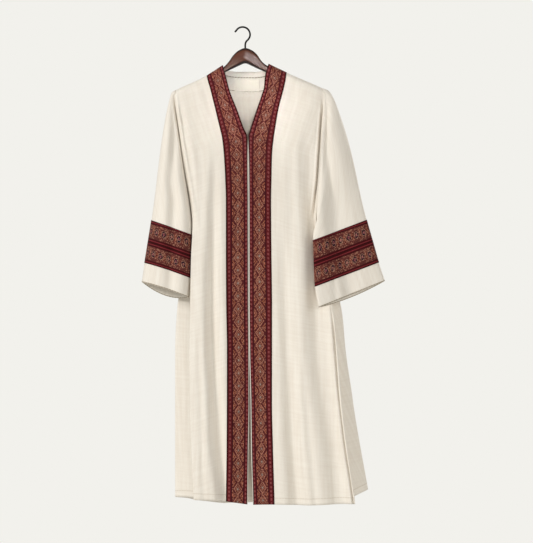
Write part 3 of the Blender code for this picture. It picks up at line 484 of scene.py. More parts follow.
# The smaller ones, which come last on each side, are creases. The left side's last one runs beside
# the panel's side edge.
FRONT_FOLDS = {
    "right": folds("""
        -400 -86 14 0, -475 -88 14 5, -553 -90 15 9, -693 -93 16 15, -818 -96 17 19, -974 -94 18 20,
        -1130 -86 18 19, -1286 -76 19 18, -1411 -62 18 17, -1475 -56 17 16;
        -240 -194 9 0, -287 -188 9 4, -381 -175 11 5, -475 -160 12 4, -560 -148 12 0;
        -300 -140 16 0, -440 -136 16 2.2, -620 -132 15 1.5, -800 -128 14 0;
        -620 -70 9 0, -900 -72 9 2, -1300 -64 8 1.6, -1475 -60 8 1;
        -900 -138 9 0, -1100 -132 9 2.5, -1475 -120 9 2.5
    """),
    "left": folds("""
        -330 203 20 0, -381 205 22 4, -475 208 22 8, -553 213 22 11, -693 226 26 15, -849 230 28 16,
        -974 236 28 15.5, -1130 254 28 16, -1286 278 27 17, -1411 292 26 17, -1490 300 26 16;
        -600 124 18 0, -700 127 18 4, -818 131 19 7, -974 140 20 9, -1130 148 20 13, -1286 156 21 17,
        -1411 165 23 19, -1490 170 23 19;
        -330 150 14 0, -520 152 14 2, -800 158 14 2, -1100 168 12 0;
        -800 246 12 0, -1000 262 12 3, -1250 288 12 3, -1490 318 12 3;
        -1000 182 10 0, -1200 200 10 2.5, -1490 228 10 3;
        -840 272 3.2 0, -930 281 3.2 7, -974 285 3.2 9, -1130 297.6 3.2 9, -1286 315 3.2 9,
        -1411 334 3.2 9, -1490 345 3.2 9
    """),
}
# The cloth sinks in along the front of each armhole, on the panel and the sleeve alike.
ARMHOLE_FOLD = {
    "right": folds("""
        -215 -209 4 0, -250 -207.5 4 8, -287 -202 4.5 13, -381 -188 5 14, -475 -173 6 12,
        -553 -161 6.5 9, -600 -154 7 3, -640 -150 7 0
    """),
    "left": folds("""
        -225 250 3.5 0, -250 248 3.5 6, -287 244.5 3.5 13, -381 238 3.5 15, -475 232 3.5 15,
        -553 224 4 8, -600 220 5 0
    """),
}


def fold_depth(group, x, z):
    """How far the cloth is pushed in at each place, in mm."""
    depth = np.zeros(np.broadcast(x, z).shape)
    for trough in group:
        across = (x - trough.at("x", z)) / trough.at("width", z)
        lips = np.exp(-((across - LIP_AT) ** 2)) + np.exp(-((across + LIP_AT) ** 2))
        depth += trough.at("depth", z) * (np.exp(-across * across) - LIP_SHARE * lips)
    return depth


def over_arm(drop):
    """How fully the cloth has turned over the hanger's arm, from 0 on its crest to 1 below it."""
    reach = np.clip(drop / ARM_ROUND, 0, 1)
    return np.sqrt(1 - (1 - reach) ** 2)


class Side:
    """One side's tables, and the points that its pieces share. Shares are arrays, 0 at the top."""

    def __init__(self, name, outward, sections, shoulder, top, hem):
        self.name, self.outward, self.sections, self.shoulder = name, outward, sections, shoulder
        self.top, self.hem = (dict(zip(LINE_NAMES, heights)) for heights in (top, hem))
        side_top = self.top["side"]
        self.hem["side"] = side_top + (UNDERARM_Z - side_top) / UNDERARM_SHARE

    def height(self, line, share):
        return self.top[line] + share * (self.hem[line] - self.top[line])

    def point(self, line, heights, share):
        z = self.height(heights, share)
        y = self.sections.at(line + "_y", z) * over_arm(self.top[heights] - z)
        return np.stack([self.sections.at(line + "_x", z), y, z], axis=-1)

    def seam(self, share, behind=0.0):
        z = self.height("side", share)
        y = self.sections.at("seam_y", z) + behind * self.sections.at("spread", z)
        return np.stack([self.sections.at("seam_x", z), y * over_arm(self.top["side"] - z), z], axis=-1)


RIGHT = Side("right", -1, RIGHT_SECTIONS, RIGHT_SHOULDER, RIGHT_TOP, RIGHT_HEM)
LEFT = Side("left", 1, LEFT_SECTIONS, LEFT_SHOULDER, LEFT_TOP, LEFT_HEM)

ARMHOLE_ROWS = finer([
    0, 0.0008, 0.003, 0.007, 0.0125, 0.026, 0.05, 0.085, 0.125, 0.165, 0.205, 0.245, 0.28, 0.305,
    0.32, 0.327, UNDERARM_SHARE,
], ROW_STEP)
BODY_ROWS = np.concatenate([ARMHOLE_ROWS, finer([UNDERARM_SHARE, 0.36, 1.0], ROW_STEP)[1:]])


def ripples(seed, grid):
    """Fine uneven ripples that run down the cloth, as heights in mm. They fade out at the edges."""
    random = np.random.default_rng(seed)
    rows, columns = grid.shape[:2]
    across, down = run(grid, 1), run(grid, 0)
    total = np.zeros((rows, columns))
    for _ in range(RIPPLE_WAVES):
        wide, tall = random.uniform(*RIPPLE_ACROSS), random.uniform(*RIPPLE_DOWN) * random.choice([-1, 1])
        total += np.sin(2 * math.pi * (across / wide + down / tall + random.uniform(0, 1)))
    fade = eased(across / RIPPLE_EDGE) * eased((across[:, -1:] - across) / RIPPLE_EDGE)
    return total * fade * eased(down / RIPPLE_TOP) * RIPPLE_TALL / math.sqrt(RIPPLE_WAVES / 2)


def pulled(grid, share=SEAM_SHARE):
    """The grid with its last column drawn back, to leave a gap at the seam."""
    back = grid[:, -2] - grid[:, -1]
    reach = np.maximum(np.linalg.norm(back, axis=1), 1e-6)
    grid[:, -1] += back * np.minimum(SEAM_GAP / reach, share)[:, None]
    return grid


def on_shoulder(side, first, grid, share):
    """The grid moved so that its top lies on the shoulder line, and its next rows follow."""
    fade = np.maximum(1 - share / SHOULDER_REACH, 0) ** 2
    grid[:, :, 2] += (side.shoulder.at("z", first[:, 0]) - first[:, 2]) * fade[:, None]


def front_rows(side, share):
    """The knots of a front panel's sections: its lines from the front edge to the seam."""
    edge, band = side.point("edge", "edge", share), side.point("band", "band", share)
    ridge, tuck = side.point("ridge", "side", share), side.point("tuck", "side", share)
    bow = FRONT_BOW * over_arm(BOW_SETS_IN * share)
    inner = band + (ridge - band) * FRONT_INNER
    outer = band + (ridge - band) * FRONT_OUTER
    inner[:, 1] -= bow
    outer[:, 1] -= OUTER_BOW * bow
    inner[:, 2] += MIDDLE_DRAW * (side.height("middle", share) - inner[:, 2])
    return np.stack([edge, band, inner, outer, ridge, tuck, side.seam(share)], axis=1)


def front_grid(side):
    places = split(FRONT_COUNTS)
    grid = through(front_rows(side, BODY_ROWS), places)
    first = grid[0].copy()
    x, z = grid[:, :, 0], grid[:, :, 2]
    ease = eased(np.abs(x - side.sections.at("edge_x", z)) / EDGE_EASE) * (1 - eased(places - RIDGE_PLACE))
    grid[:, :, 1] += ease * fold_depth(FRONT_FOLDS[side.name], x, z)
    grid[:, :, 1] += fold_depth(ARMHOLE_FOLD[side.name], x, z)
    on_shoulder(side, first, grid, BODY_ROWS)
    grid = grid + normals(grid) * ripples(RIPPLE_SEEDS[side.name], grid)[:, :, None]
    grid = pulled(grid)
    grid[0, :, 1] = -CREST_GAP
    return grid


# Linen: undyed cream yarn in plain weave, with slubs, washed soft. The weave is drawn at 1.4 mm a
# thread, coarser than the true 0.6 mm, which would be too fine to show.
THREAD = 1.4
# How wide and long the slubs of the warp and of the weft are, and how much of the streaks is weft's.
SLUBS, WEFT_SHARE = ((9.0, 150.0), (110.0, 7.0)), 0.4
# Where a slub's streak begins and is full, and how much the streaks and the threads' height shade it.
STREAK_FROM, STREAK_TO, STREAK_SHADE, THREAD_SHADE = 0.36, 0.64, 0.5, 0.4
# The line of stitches along each hem: half its width, how long a stitch is, half the gap between
# two, and how much of the thread's colour shows there. Then how sharply warp and weft change places.
STITCH_LINE, STITCH_LONG, STITCH_GAP, GAP_SHOWS, CROSS_SHARP = 1.3, 9.0, 0.9, 0.5, 1.5
# How tall the threads and how deep the stitches are, in metres, and how strongly each shows.
THREAD_BUMP, STITCH_BUMP = (0.0002, 0.35), (0.0005, 0.6)


def from_line(node, value, line):
    """How far a place is from a line, in mm."""
    off = node("Math SUBTRACT", (value, line))
    return node("Math ABSOLUTE", (off,))


def weave(finish, base, shade, hem, thread_and_edge_shade):
    """Plain weave with slubs both ways, and a line of stitches so many mm above the lower edge."""
    node = partial(add, finish)
    place = node("UVMap", uv_map="mm")
    u, v = (node("SeparateXYZ", (place,), out=i) for i in (0, 1))
    turns = [node("Math MULTIPLY", (axis, math.pi / THREAD)) for axis in (u, v)]
    waves = [node("Math SINE", (turn,)) for turn in turns]
    crossing = node("Math MULTIPLY", waves)
    tall = [node("Math ABSOLUTE", (wave,)) for wave in waves]
    warp_on_top = node("Math MULTIPLY_ADD", (crossing, CROSS_SHARP, 0.5))
    height = node("Mix", {0: warp_on_top, 2: tall[1], 3: tall[0]})
    slubs = []
    for across, down in SLUBS:
        stretched = node("Mapping", {0: place, 3: (1 / across, 1 / down, 1)})
        slubs.append(node("TexNoise", {"Vector": stretched, "Scale": 1.0, "Detail": 2.0}))
    weft = node("Math MULTIPLY", (slubs[1], WEFT_SHARE))
    streak = node("Math MULTIPLY_ADD", (slubs[0], 1 - WEFT_SHARE, weft))
    streak = node("MapRange", (streak, STREAK_FROM, STREAK_TO))
    threads = node("Math MULTIPLY", (height, THREAD_SHADE))
    depth = node("Math MULTIPLY_ADD", (streak, STREAK_SHADE, threads))
    colour = node("Mix RGBA", {0: depth, 6: srgb(shade), 7: srgb(base)}, out=2)
    # The second UV map counts up from the lower edge.
    edge = node("SeparateXYZ", (node("UVMap", uv_map="from hem"),), out=1)
    seam = node("Math LESS_THAN", (from_line(node, edge, hem), STITCH_LINE))
    stitch = node("Math PINGPONG", (u, STITCH_LONG / 2))
    stitch = node("Math GREATER_THAN", (stitch, STITCH_GAP))
    stitch = node("Math MULTIPLY_ADD", (stitch, 1 - GAP_SHOWS, GAP_SHOWS))
    # Where a dark colour is given, as on the cuffs and the facing, this line is stitches and painted shade
    # along the edge.
    stitched_and_edge_shade = node("Math MULTIPLY", (seam, stitch))
    colour = node("Mix RGBA", {0: stitched_and_edge_shade, 6: colour, 7: srgb(thread_and_edge_shade)}, out=2)
    wear(finish, "Base Color", colour)
    (tall, strong), (deep, clear) = THREAD_BUMP, STITCH_BUMP
    relief = node("Bump", {"Height": height, "Strength": strong, "Distance": tall})
    relief = {"Height": seam, "Strength": clear, "Distance": deep, "Normal": relief}
    wear(finish, "Normal", node("Bump", relief, invert=True))


# Washed linen scatters light with almost no gloss, and its fine hairs give it a slight sheen.
linen = surface("linen, undyed cream, plain weave", 0.88, sockets={"Sheen Weight": 0.08})
weave(linen, "EEE8DD", "DED4C6", 20.0, "D8CEBF")

fronts = {side.name: front_grid(side) for side in (RIGHT, LEFT)}
for name, grid in fronts.items():
    cloth(f"front_{name}", [grid], LINEN_WALL, linen)


# The back panel: one width of linen with a shaped strip round the back of the neck, turned under
# at both side seams. The photo hides it, so its folds follow the front's.

# Its middle, from the nape to the hem.
BACK_MIDDLE = Table("z x y", """
    -200 18.5 27, -337 18.5 28, -615 19 36.5, -865 20 47.5, -1161 22 59, -1484 24 68
""")
BACK_TOP, BACK_LENGTH = -200, 1284.0
BACK_BOW, BACK_SETS_IN = 10.0, 1300.0
# The two inner points of its section: where the outer one lies, how far the inner one drifts by
# the hem, and how much of the bow the outer one has.
BACK_OUTER, BACK_INNER_DRIFT, BACK_OUTER_BOW = 0.14, 0.08, 0.8
# How steeply the inner one's line first rises over a straight one, and how far the outer one is
# drawn to its height.
INNER_RISE, OUTER_DRAW = 10, 0.2
# How far the back's hem falls from its corner to the fold that is tucked behind the front.
HEM_CORNER = {"right": 0.0, "left": 34.0}
# How much of the panel's length follows the neckline, and how far the neck's strip bows out.
NECK_REACH, NECK_BOW, NECK_BOW_FULL = 0.14, 1.5, 20
BACK_COUNTS = [10, 15, 10, 15, 35]
NECK_COUNTS = [5, 5, 5, 10, 10, 10, 10, 5, 5, 5]
NECK_ROWS = finer([0, 0.32, 0.66, 1.0], 0.05)
# The last four are smaller creases.
BACK_FOLDS = folds("""
    -380 -122 22 0, -560 -120 24 9, -900 -128 24 17, -1484 -142 22 22;
    -470 -40 20 0, -700 -44 22 8, -1000 -50 22 14, -1484 -60 22 20;
    -300 55 22 0, -480 62 24 8, -900 72 24 16, -1484 80 24 21;
    -420 150 22 0, -640 158 24 10, -1000 180 26 17, -1484 214 24 22;
    -980 300 18 0, -1200 312 20 8, -1484 322 20 13;
    -330 -80 12 0, -520 -84 12 3, -900 -90 12 2.5, -1250 -98 12 0;
    -360 8 10 0, -600 10 11 2.5, -1000 16 12 3.5, -1484 18 12 4;
    -500 112 11 0, -760 116 12 3, -1200 136 12 2.5, -1484 146 12 3;
    -900 240 10 0, -1150 258 11 3, -1484 276 11 3.5
""")
# Where the neck's strip turns over the hanger's arm: how far in and down, and by what angles.
CREST_IN, CREST_DOWN, CREST_TURNS = 11, 8, (0, 0.8, 1.57)


def from_crest(x, z, rest):
    """One edge of the neck's strip, from a shoulder seam. It first turns over the hanger's arm."""
    return [(x, CREST_IN * math.sin(a), z - CREST_DOWN * (1 - math.cos(a))) for a in CREST_TURNS] + rest


# The strip's upper and lower edges, each from a shoulder seam round to the nape.
NAPE_UPPER, NAPE_LOWER = (18.5, 26, -135.4), (18.5, 27, -200)
NECK_UPPER = from_crest(-61.5, -117, [(-56, 17.5, -130.5), (-32, 23.5, -134.5)])
NECK_UPPER_LEFT = from_crest(80.8, -113, [(76, 17.5, -129), (60, 23, -134)])
NECK_LOWER = from_crest(-110, -148.6, [(-101, 17, -168), (-60, 23.5, -190)])
NECK_LOWER_LEFT = from_crest(137.3, -140, [(128, 17, -162), (95, 23.5, -188)])


def back_centre(share):
    z = BACK_TOP - share * BACK_LENGTH
    return np.stack([BACK_MIDDLE.at("x", z), BACK_MIDDLE.at("y", z), z], axis=-1)


def back_rows(side, share):
    """The knots of one side of the back's sections, from the seam inwards."""
    tuck, ridge = (side.point(line, "back_side", share) for line in ("back_tuck", "back_ridge"))
    centre = back_centre(share)
    outer = ridge + (centre - ridge) * BACK_OUTER
    band_x, ridge_x = (side.sections.columns[name][-1] for name in ("band_x", "back_ridge_x"))
    start = (band_x - ridge_x) / (BACK_MIDDLE.columns["x"][-1] - ridge_x)
    inner = ridge + (centre - ridge) * (start + BACK_INNER_DRIFT * share)[:, None]
    bow, turn = BACK_BOW * over_arm(BOW_SETS_IN * share), over_arm(BACK_SETS_IN * share)
    for points, amount in ((outer, BACK_OUTER_BOW), (inner, 1.0)):
        points[:, 1] = (points[:, 1] + amount * bow) * turn
    inner_top = side.top["band"] + INNER_RISE * share
    inner[:, 2] = inner_top + share * (BACK_TOP - BACK_LENGTH - inner_top)
    outer[:, 2] = ridge[:, 2] + OUTER_DRAW * (inner[:, 2] - ridge[:, 2])
    tuck[:, 2] -= HEM_CORNER[side.name] * share**2
    return np.stack([side.seam(share, 1.0), tuck, ridge, outer, inner], axis=1)


def neck_grid():
    edges = (NECK_UPPER, NAPE_UPPER, NECK_UPPER_LEFT), (NECK_LOWER, NAPE_LOWER, NECK_LOWER_LEFT)
    upper, lower = (through(right + [nape] + left[::-1], split(NECK_COUNTS)) for right, nape, left in edges)
    grid = []
    for share in NECK_ROWS:
        row = upper + (lower - upper) * share
        row[:, 1] += NECK_BOW * math.sin(math.pi * share) * np.minimum(row[:, 1] / NECK_BOW_FULL, 1)
        grid.append(row)
    grid = np.array(grid)
    grid[:, (0, -1), 1] += CREST_GAP
    return grid


def back_grid(below_neck):
    share = BODY_ROWS
    knots = [back_rows(RIGHT, share), back_centre(share)[:, None], back_rows(LEFT, share)[:, ::-1]]
    places = split(BACK_COUNTS + BACK_COUNTS[::-1])
    grid = through(np.concatenate(knots, axis=1), places)
    ease = eased(places - 1) * eased(places[-1] - places - 1)
    grid[:, :, 1] -= ease * fold_depth(BACK_FOLDS, grid[:, :, 0], grid[:, :, 2])
    edge = sum(BACK_COUNTS[:4])
    first = grid[0].copy()
    on_shoulder(RIGHT, first[:edge], grid[:, :edge], share)
    on_shoulder(LEFT, first[-edge:], grid[:, -edge:], share)
    fade = np.maximum(1 - share / NECK_REACH, 0) ** 2
    grid[:, edge:-edge] += (below_neck - first[edge:-edge]) * fade[:, None, None]
    grid = grid - normals(grid) * ripples(RIPPLE_SEEDS["back"], grid)[:, :, None]
    grid = pulled(pulled(grid)[:, ::-1])[:, ::-1]
    grid[0, :edge, 1] = grid[0, -edge:, 1] = CREST_GAP
    grid[0, (edge, -edge - 1), 1] += CREST_GAP
    return grid


neck = neck_grid()
back = back_grid(neck[-1])
cloth("back", [back, neck], LINEN_WALL, linen)


# The sleeves: wide tubes of linen with one underarm seam, each set into its armhole and open at the
# cuff, where the edge is turned in and stitched close, the stitches painted dark as shade along the edge.

# Each is a fan of rings from the armhole (0) to the cuff (1), each ring hung between a point on the
# sleeve's outer edge and one on its inner edge. front and back: how far it stands out on each side.
# cuff_rise and cuff_drop: how the cuff's edge curves. A sag over 1 hollows its front towards the
# outer edge, and a back_lean over 0 empties its back towards the inner one.
RING_NAMES = "ring x y z"
SLEEVES = {
    "right": {
        "outer": Table(RING_NAMES, """
            0 -208 0 -194, 0.03 -219 0 -200.5, 0.06 -225.5 1 -216, 0.68 -284 4 -600,
            0.79 -294.7 4.5 -666.5, 0.9 -305.4 5 -733, 1 -314.5 5 -793
        """),
        "inner": Table(RING_NAMES, """
            0 -150 -4 -615, 0.08 -154 -8 -622, 0.2 -156.5 -10 -629, 0.4 -157.5 -11 -637,
            0.68 -158 -12 -646, 0.79 -160.2 -12 -713, 0.9 -162.5 -12 -780.6, 1 -167.2 -12 -841
        """),
        "front": 44, "back": 44, "back_lean": 0.0, "cuff_rise": 4, "cuff_drop": 19, "roll": 0.0,
        "sag": 1.0,
    },
    "left": {
        "outer": Table(RING_NAMES, """
            0 248 0 -188, 0.03 267 0 -195.5, 0.065 288 1 -229, 0.68 386.6 2 -598.7, 0.79 405.6 2 -665.4,
            0.9 424.6 2 -732, 1 444 2 -789.7
        """),
        "inner": Table(RING_NAMES, """
            0 229 -11 -615, 0.03 234.5 -17 -617, 0.06 234 -27 -620, 0.1 229 -33 -625, 0.2 221 -39 -637,
            0.4 219.5 -46 -648, 0.68 219.6 -52 -662.7, 0.79 222.6 -58 -735, 0.9 225.6 -64 -807,
            1 236.8 -70 -872
        """),
        "front": 15, "back": 18, "back_lean": 1.0, "cuff_rise": 0, "cuff_drop": 9, "roll": 9.0,
        "sag": 1.8,
    },
}
SLEEVE_FOLDS = {
    "right": folds("""
        -300 -214 12 0, -381 -217 14 7, -475 -222 15 10, -553 -213 16 12, -640 -215 17 9, -840 -226 17 7;
        -230 -214 7 0, -330 -216 8 2.5, -470 -210 9 2, -620 -200 9 0;
        -420 -255 9 0, -560 -258 10 2, -700 -266 10 0
    """),
    "left": folds("""
        -215 264 12 0, -300 266 13 5, -381 266 15 8, -484 268 17 9, -621 284 19 9, -750 312 21 6,
        -880 345 22 7;
        -222 263 6 0, -260 267 6.5 4, -340 269 7 5, -430 270 8 4, -560 278 9 0;
        -300 280 16 0, -400 284 18 5, -480 289 20 6, -590 305 22 6, -680 325 22 4, -800 350 22 3;
        -560 262 9 0, -680 272 10 2.5, -860 292 11 3
    """),
}
RIBBON_TOP, RIBBON_MIDDLE, RIBBON_BOTTOM = 0.68, 0.79, 0.90
SLEEVE_RINGS = finer([
    0.0, 0.02, 0.045, 0.08, 0.13, 0.2, 0.3, 0.42, 0.55, RIBBON_TOP, RIBBON_MIDDLE, RIBBON_BOTTOM, 1.0,
], 0.012)
# Over 2, this makes the sleeve's front flatter than an ellipse. How late the cuff's curve sets in.
FRONT_SQUARE, CUFF_LATE = 4, 4
# The rings keep the armhole's shape up to the first of these rings, and fill out by the second.
ARMHOLE_FADE, FILLS_OUT = 0.6, 0.16
# The largest share of a step that the armhole's gap may take, and where its fold stops on a ring.
ARMHOLE_SHARE, FOLD_STOPS = 0.4, 0.98
# The left sleeve's cap rolls over its seam: the ring where it is fullest and how wide it is, the
# places down the armhole where it starts to come in and to go out, each with its reach, how far it
# stands forward, and how soon. Its foot at the seam is taken off again by a quick fade.
ROLL_RING, ROLL_WIDE, FOOT_FADE = 0.06, 0.05, 12
ROLL_IN, ROLL_OUT = (0.03, 0.25), (0.86, 0.12)
ROLL_FORWARD, ROLL_SOON = 0.8, 0.03


def sleeve_loop(side):
    """The armhole from the shoulder down its front and up its back, and each point's share of the way."""
    front, back = (side.seam(ARMHOLE_ROWS, behind) for behind in (0.0, 1.0))
    along = run(front[None], 1)[0]
    along /= along[-1]
    points = np.concatenate([front, back[-2:0:-1]])
    shares = np.concatenate([along, along[-2:0:-1]])
    facing = np.array([-1.0] * len(front) + [1.0] * (len(back) - 2))
    facing[0] = facing[len(front) - 1] = 0.0
    return points, shares, facing


def sleeve_grid(side):
    """Rings by columns. The loop's first point is on the outer edge, and its last is the same."""
    sizes = SLEEVES[side.name]
    armhole, share, facing = sleeve_loop(side)
    foot = armhole[len(ARMHOLE_ROWS) - 1] - armhole[0]
    outer, inner = (
        np.stack([sizes[edge].at(axis, SLEEVE_RINGS) for axis in "xyz"], axis=-1)[:, None]
        for edge in ("outer", "inner")
    )
    ring = SLEEVE_RINGS[:, None]
    fade = np.maximum(1 - ring / ARMHOLE_FADE, 0) ** 2
    swell = 1 - np.exp(-ring / FILLS_OUT)
    full = np.sqrt(np.maximum(1 - (2 * share - 1) ** 2, 0))[None]
    grid = outer + (inner - outer) * share[:, None]
    grid = grid + (armhole - armhole[0] - foot * share[:, None]) * fade[:, :, None]
    before, behind = facing < 0, facing > 0
    x, y, z = grid[:, :, 0], grid[:, :, 1], grid[:, :, 2]
    lean = 1 - sizes["back_lean"] * share**3
    flat = np.sqrt(1 - np.abs(2 * share - 1) ** FRONT_SQUARE)[None]
    y += swell * before * (share ** sizes["sag"] - share) * (inner - outer)[:, :, 1]
    y += swell * (full * sizes["back"] * lean * behind - flat * sizes["front"] * before)
    curve = sizes["cuff_rise"] * before - sizes["cuff_drop"] * behind
    z += 4 * share * (1 - share) * ring**CUFF_LATE * curve
    y += before * flat * fold_depth(SLEEVE_FOLDS[side.name], x, z)
    y += (facing <= 0) * (share < FOLD_STOPS) * fold_depth(ARMHOLE_FOLD[side.name], x, z)
    if sizes["roll"]:
        comes, goes = (eased((share - start) / reach) for start, reach in (ROLL_IN, ROLL_OUT))
        reach = (facing <= 0) * comes * (1 - goes) * sizes["roll"]
        at_seam = math.exp(-((ROLL_RING / ROLL_WIDE) ** 2))
        roll = np.exp(-(((ring - ROLL_RING) / ROLL_WIDE) ** 2)) - at_seam * (1 - ring) ** FOOT_FADE
        x -= side.outward * reach * np.maximum(roll, 0)
        y -= ROLL_FORWARD * reach * (1 - np.exp(-ring / ROLL_SOON)) * (1 - ring) ** 2
    pulled(np.swapaxes(grid, 0, 1)[:, ::-1], ARMHOLE_SHARE)
    return np.concatenate([grid, grid[:, :1]], axis=1)


# The same washed linen, with a line of dark stitches close to the cuff's edge, painted dark to stand
# for the shade along the edge.
cuff_linen_painted_edge_shade = surface("linen, undyed cream, plain weave, edge stitched", 0.88, sockets={"Sheen Weight": 0.08})
weave(cuff_linen_painted_edge_shade, "EEE8DD", "DED4C6", 1.6, "A3957F")
sleeves = {side.name: sleeve_grid(side) for side in (RIGHT, LEFT)}
for name, grid in sleeves.items():
    cloth(f"sleeve_{name}", [grid], LINEN_WALL, cuff_linen_painted_edge_shade)


# The front ribbons and the back neck ribbon: woven jacquard 70 mm wide, in maroon with rose
# lozenges, sewn flat on the linen along both of its edges. A stitch of the weave is drawn 1.4 mm
# wide, and its flecks of other colours 2.8 mm, as they would be too fine to show.

# The ribbon's width, a stitch, a fleck, and how often the lozenges and the dots come again.
RIBBON_WIDE, STITCH, FLECK, REPEAT, DOTS = 70.0, 1.4, 2.8, 40.0, 12.8
RIBBON_WALL, SEWN = 0.8, 0.12
LIFT = LINEN_WALL / 2 + SEWN + RIBBON_WALL / 2
# The dots' lines and half sizes. Then the field's middle, half the width of it and of a lozenge, and
# the ring value at a lozenge's edge.
DOT_LINES, DOT_WIDE, DOT_LONG = (6.9, 60.4), 2.9, 4.0
FIELD_MIDDLE, FIELD_HALF, LOZENGE_HALF, LOZENGE_EDGE = 32.8, 17.0, 13.0, 1.02
# How many of the flecks' cells are of a lighter yarn, and how many of a darker one.
LIGHT_CELLS, DARK_CELLS = 0.22, 0.3
# How the stitches differ in tone: the least one, and how much more it can be. How tall they are, in
# metres.
TONE_LEAST, TONE_MORE, STITCH_TALL = 0.75, 0.5, 0.0002
# How far the ribbon's edge lies back from the linen's front edge, which shows below the neckline.
EDGE_INSET = Table("z inset", "-337 -0.2, -430 2.3, -1300 2.3, -1490 1.2")
# Its fine matt yarns scatter light, so the ribbon has hardly any gloss.
MATT = {"Specular IOR Level": 0.12}


def stepped(node, axes, size):
    """Places stepped to whole cells of one size in mm, and a random value from 0 to 1 for each cell."""
    starts = [node("Math SNAP", (axis, size)) for axis in axes]
    steps = [node("Math ADD", (start, size / 2)) for start in starts]
    cell = node("CombineXYZ", (*steps, size))
    return *steps, node("TexWhiteNoise", {"Vector": cell}, noise_dimensions="3D")


def stitches(node):
    """Places in mm, along the ribbon and across it, stepped to whole stitches, and their shade."""
    place = node("UVMap", uv_map="mm")
    axes = [node("SeparateXYZ", (place,), out=i) for i in (1, 0)]
    *steps, shade = stepped(node, axes, STITCH)
    return *steps, shade, stepped(node, axes, FLECK)[2]


def spot(node, along, long, across, wide):
    """1 on the edge of an oval whose half sizes in mm are given, and less inside it."""
    shares = [node("Math DIVIDE", pair) for pair in ((along, long), (across, wide))]
    squares = [node("Math POWER", (share, 2.0)) for share in shares]
    return node("Math ADD", squares)


def yarns(node, value, stops):
    """Bands of one yarn each: every stop is where a band starts, from 0 to 1, and its hex colour."""
    colour = node("ValToRGB", (value,))
    bands = colour.node.color_ramp
    bands.interpolation = "CONSTANT"
    while len(bands.elements) < len(stops):
        bands.elements.new(1.0)
    for element, (start, code) in zip(bands.elements, stops):
        element.position, element.color = start, srgb(code)
    return colour


def stripes(node, across, stops):
    """Stripes along the ribbon: each stop is where one starts across it, in mm, and its hex colour."""
    share = node("Math DIVIDE", (across, RIBBON_WIDE))
    return yarns(node, share, [(start / RIBBON_WIDE, code) for start, code in stops])


def flecked(node, colour, fleck, light, dark, amount):
    """Scattered cells of a lighter and of a darker yarn."""
    lights = node("Math GREATER_THAN", (fleck, 1 - LIGHT_CELLS))
    darks = node("Math LESS_THAN", (fleck, DARK_CELLS))
    for cells, code in ((lights, light), (darks, dark)):
        cells = node("Math MULTIPLY", (cells, amount))
        colour = node("Mix RGBA", {0: cells, 6: colour, 7: srgb(code)}, out=2)
    return colour


def woven(finish, colour, shade):
    """The ribbon's colour with a little difference from stitch to stitch."""
    tone = add(finish, "Math MULTIPLY_ADD", (shade, TONE_MORE, TONE_LEAST))
    tinted = add(finish, "Mix RGBA", {0: 1.0, 6: colour, 7: tone}, out=2, blend_type="MULTIPLY")
    wear(finish, "Base Color", tinted)
    wear(finish, "Normal", add(finish, "Bump", {"Height": shade, "Strength": 0.3, "Distance": STITCH_TALL}))


def lozenges(finish):
    """From the front edge outwards: a dark edge, a stripe of rosy dots, a dark line, the field with
    its chain of nested lozenges, and the same three again."""
    node = partial(add, finish)
    along, across, shade, fleck = stitches(node)
    bands = stripes(node, across, [
        (0, "300708"), (3.6, "571619"), (10.4, "3C0E14"), (16, "6E3B2E"), (49.6, "3C0E14"),
        (55.2, "571619"), (65.4, "300708"),
    ])
    middle = from_line(node, across, FIELD_MIDDLE)
    wave = node("Math PINGPONG", (along, REPEAT / 2))
    wave = node("Math DIVIDE", (wave, REPEAT / 2))
    ring = node("Math DIVIDE", (middle, LOZENGE_HALF))
    ring = node("Math ADD", (ring, wave))
    rings = yarns(node, ring, [
        (0, "958074"), (0.24, "4E1A1C"), (0.4, "98604C"), (0.58, "4E1A1C"), (0.8, "A86E58"),
        (LOZENGE_EDGE, "4E1A1C"),
    ])
    beside = node("Math SUBTRACT", (FIELD_HALF, middle))
    beside = node("Math DIVIDE", (beside, LOZENGE_HALF))
    back_wave = node("Math SUBTRACT", (1.0, wave))
    side_ring = node("Math ADD", (beside, back_wave))
    side_rings = yarns(node, side_ring, [
        (0, "A8604A"), (0.28, "4C1A1C"), (0.5, "96583F"), (0.72, "54201F"),
    ])
    between = node("Math GREATER_THAN", (ring, LOZENGE_EDGE))
    field = node("Mix RGBA", {0: between, 6: rings, 7: side_rings}, out=2)
    field = flecked(node, field, fleck, "A2705E", "3C1216", 0.45)
    inside = node("Math LESS_THAN", (middle, FIELD_HALF))
    colour = node("Mix RGBA", {0: inside, 6: bands, 7: field}, out=2)
    dot_run = node("Math PINGPONG", (along, DOTS / 2))
    for line in DOT_LINES:
        dot = spot(node, dot_run, DOT_LONG, from_line(node, across, line), DOT_WIDE)
        dot = node("Math LESS_THAN", (dot, 1.0))
        colour = node("Mix RGBA", {0: dot, 6: colour, 7: srgb("7E3E3E")}, out=2)
    woven(finish, colour, shade)


def sewn_ribbon(name, strip, finish):
    """A length of ribbon whose columns run along it. Across it, its UVs span the ribbon's width."""
    rows, columns = strip.shape[:2]
    across = np.tile(np.linspace(0, RIBBON_WIDE, columns), (rows, 1))
    down = np.tile(run(strip, 0).mean(axis=1)[:, None], (1, columns))
    cloth(name, [strip], RIBBON_WALL, finish,
          places=[np.stack([across, down], axis=2)])


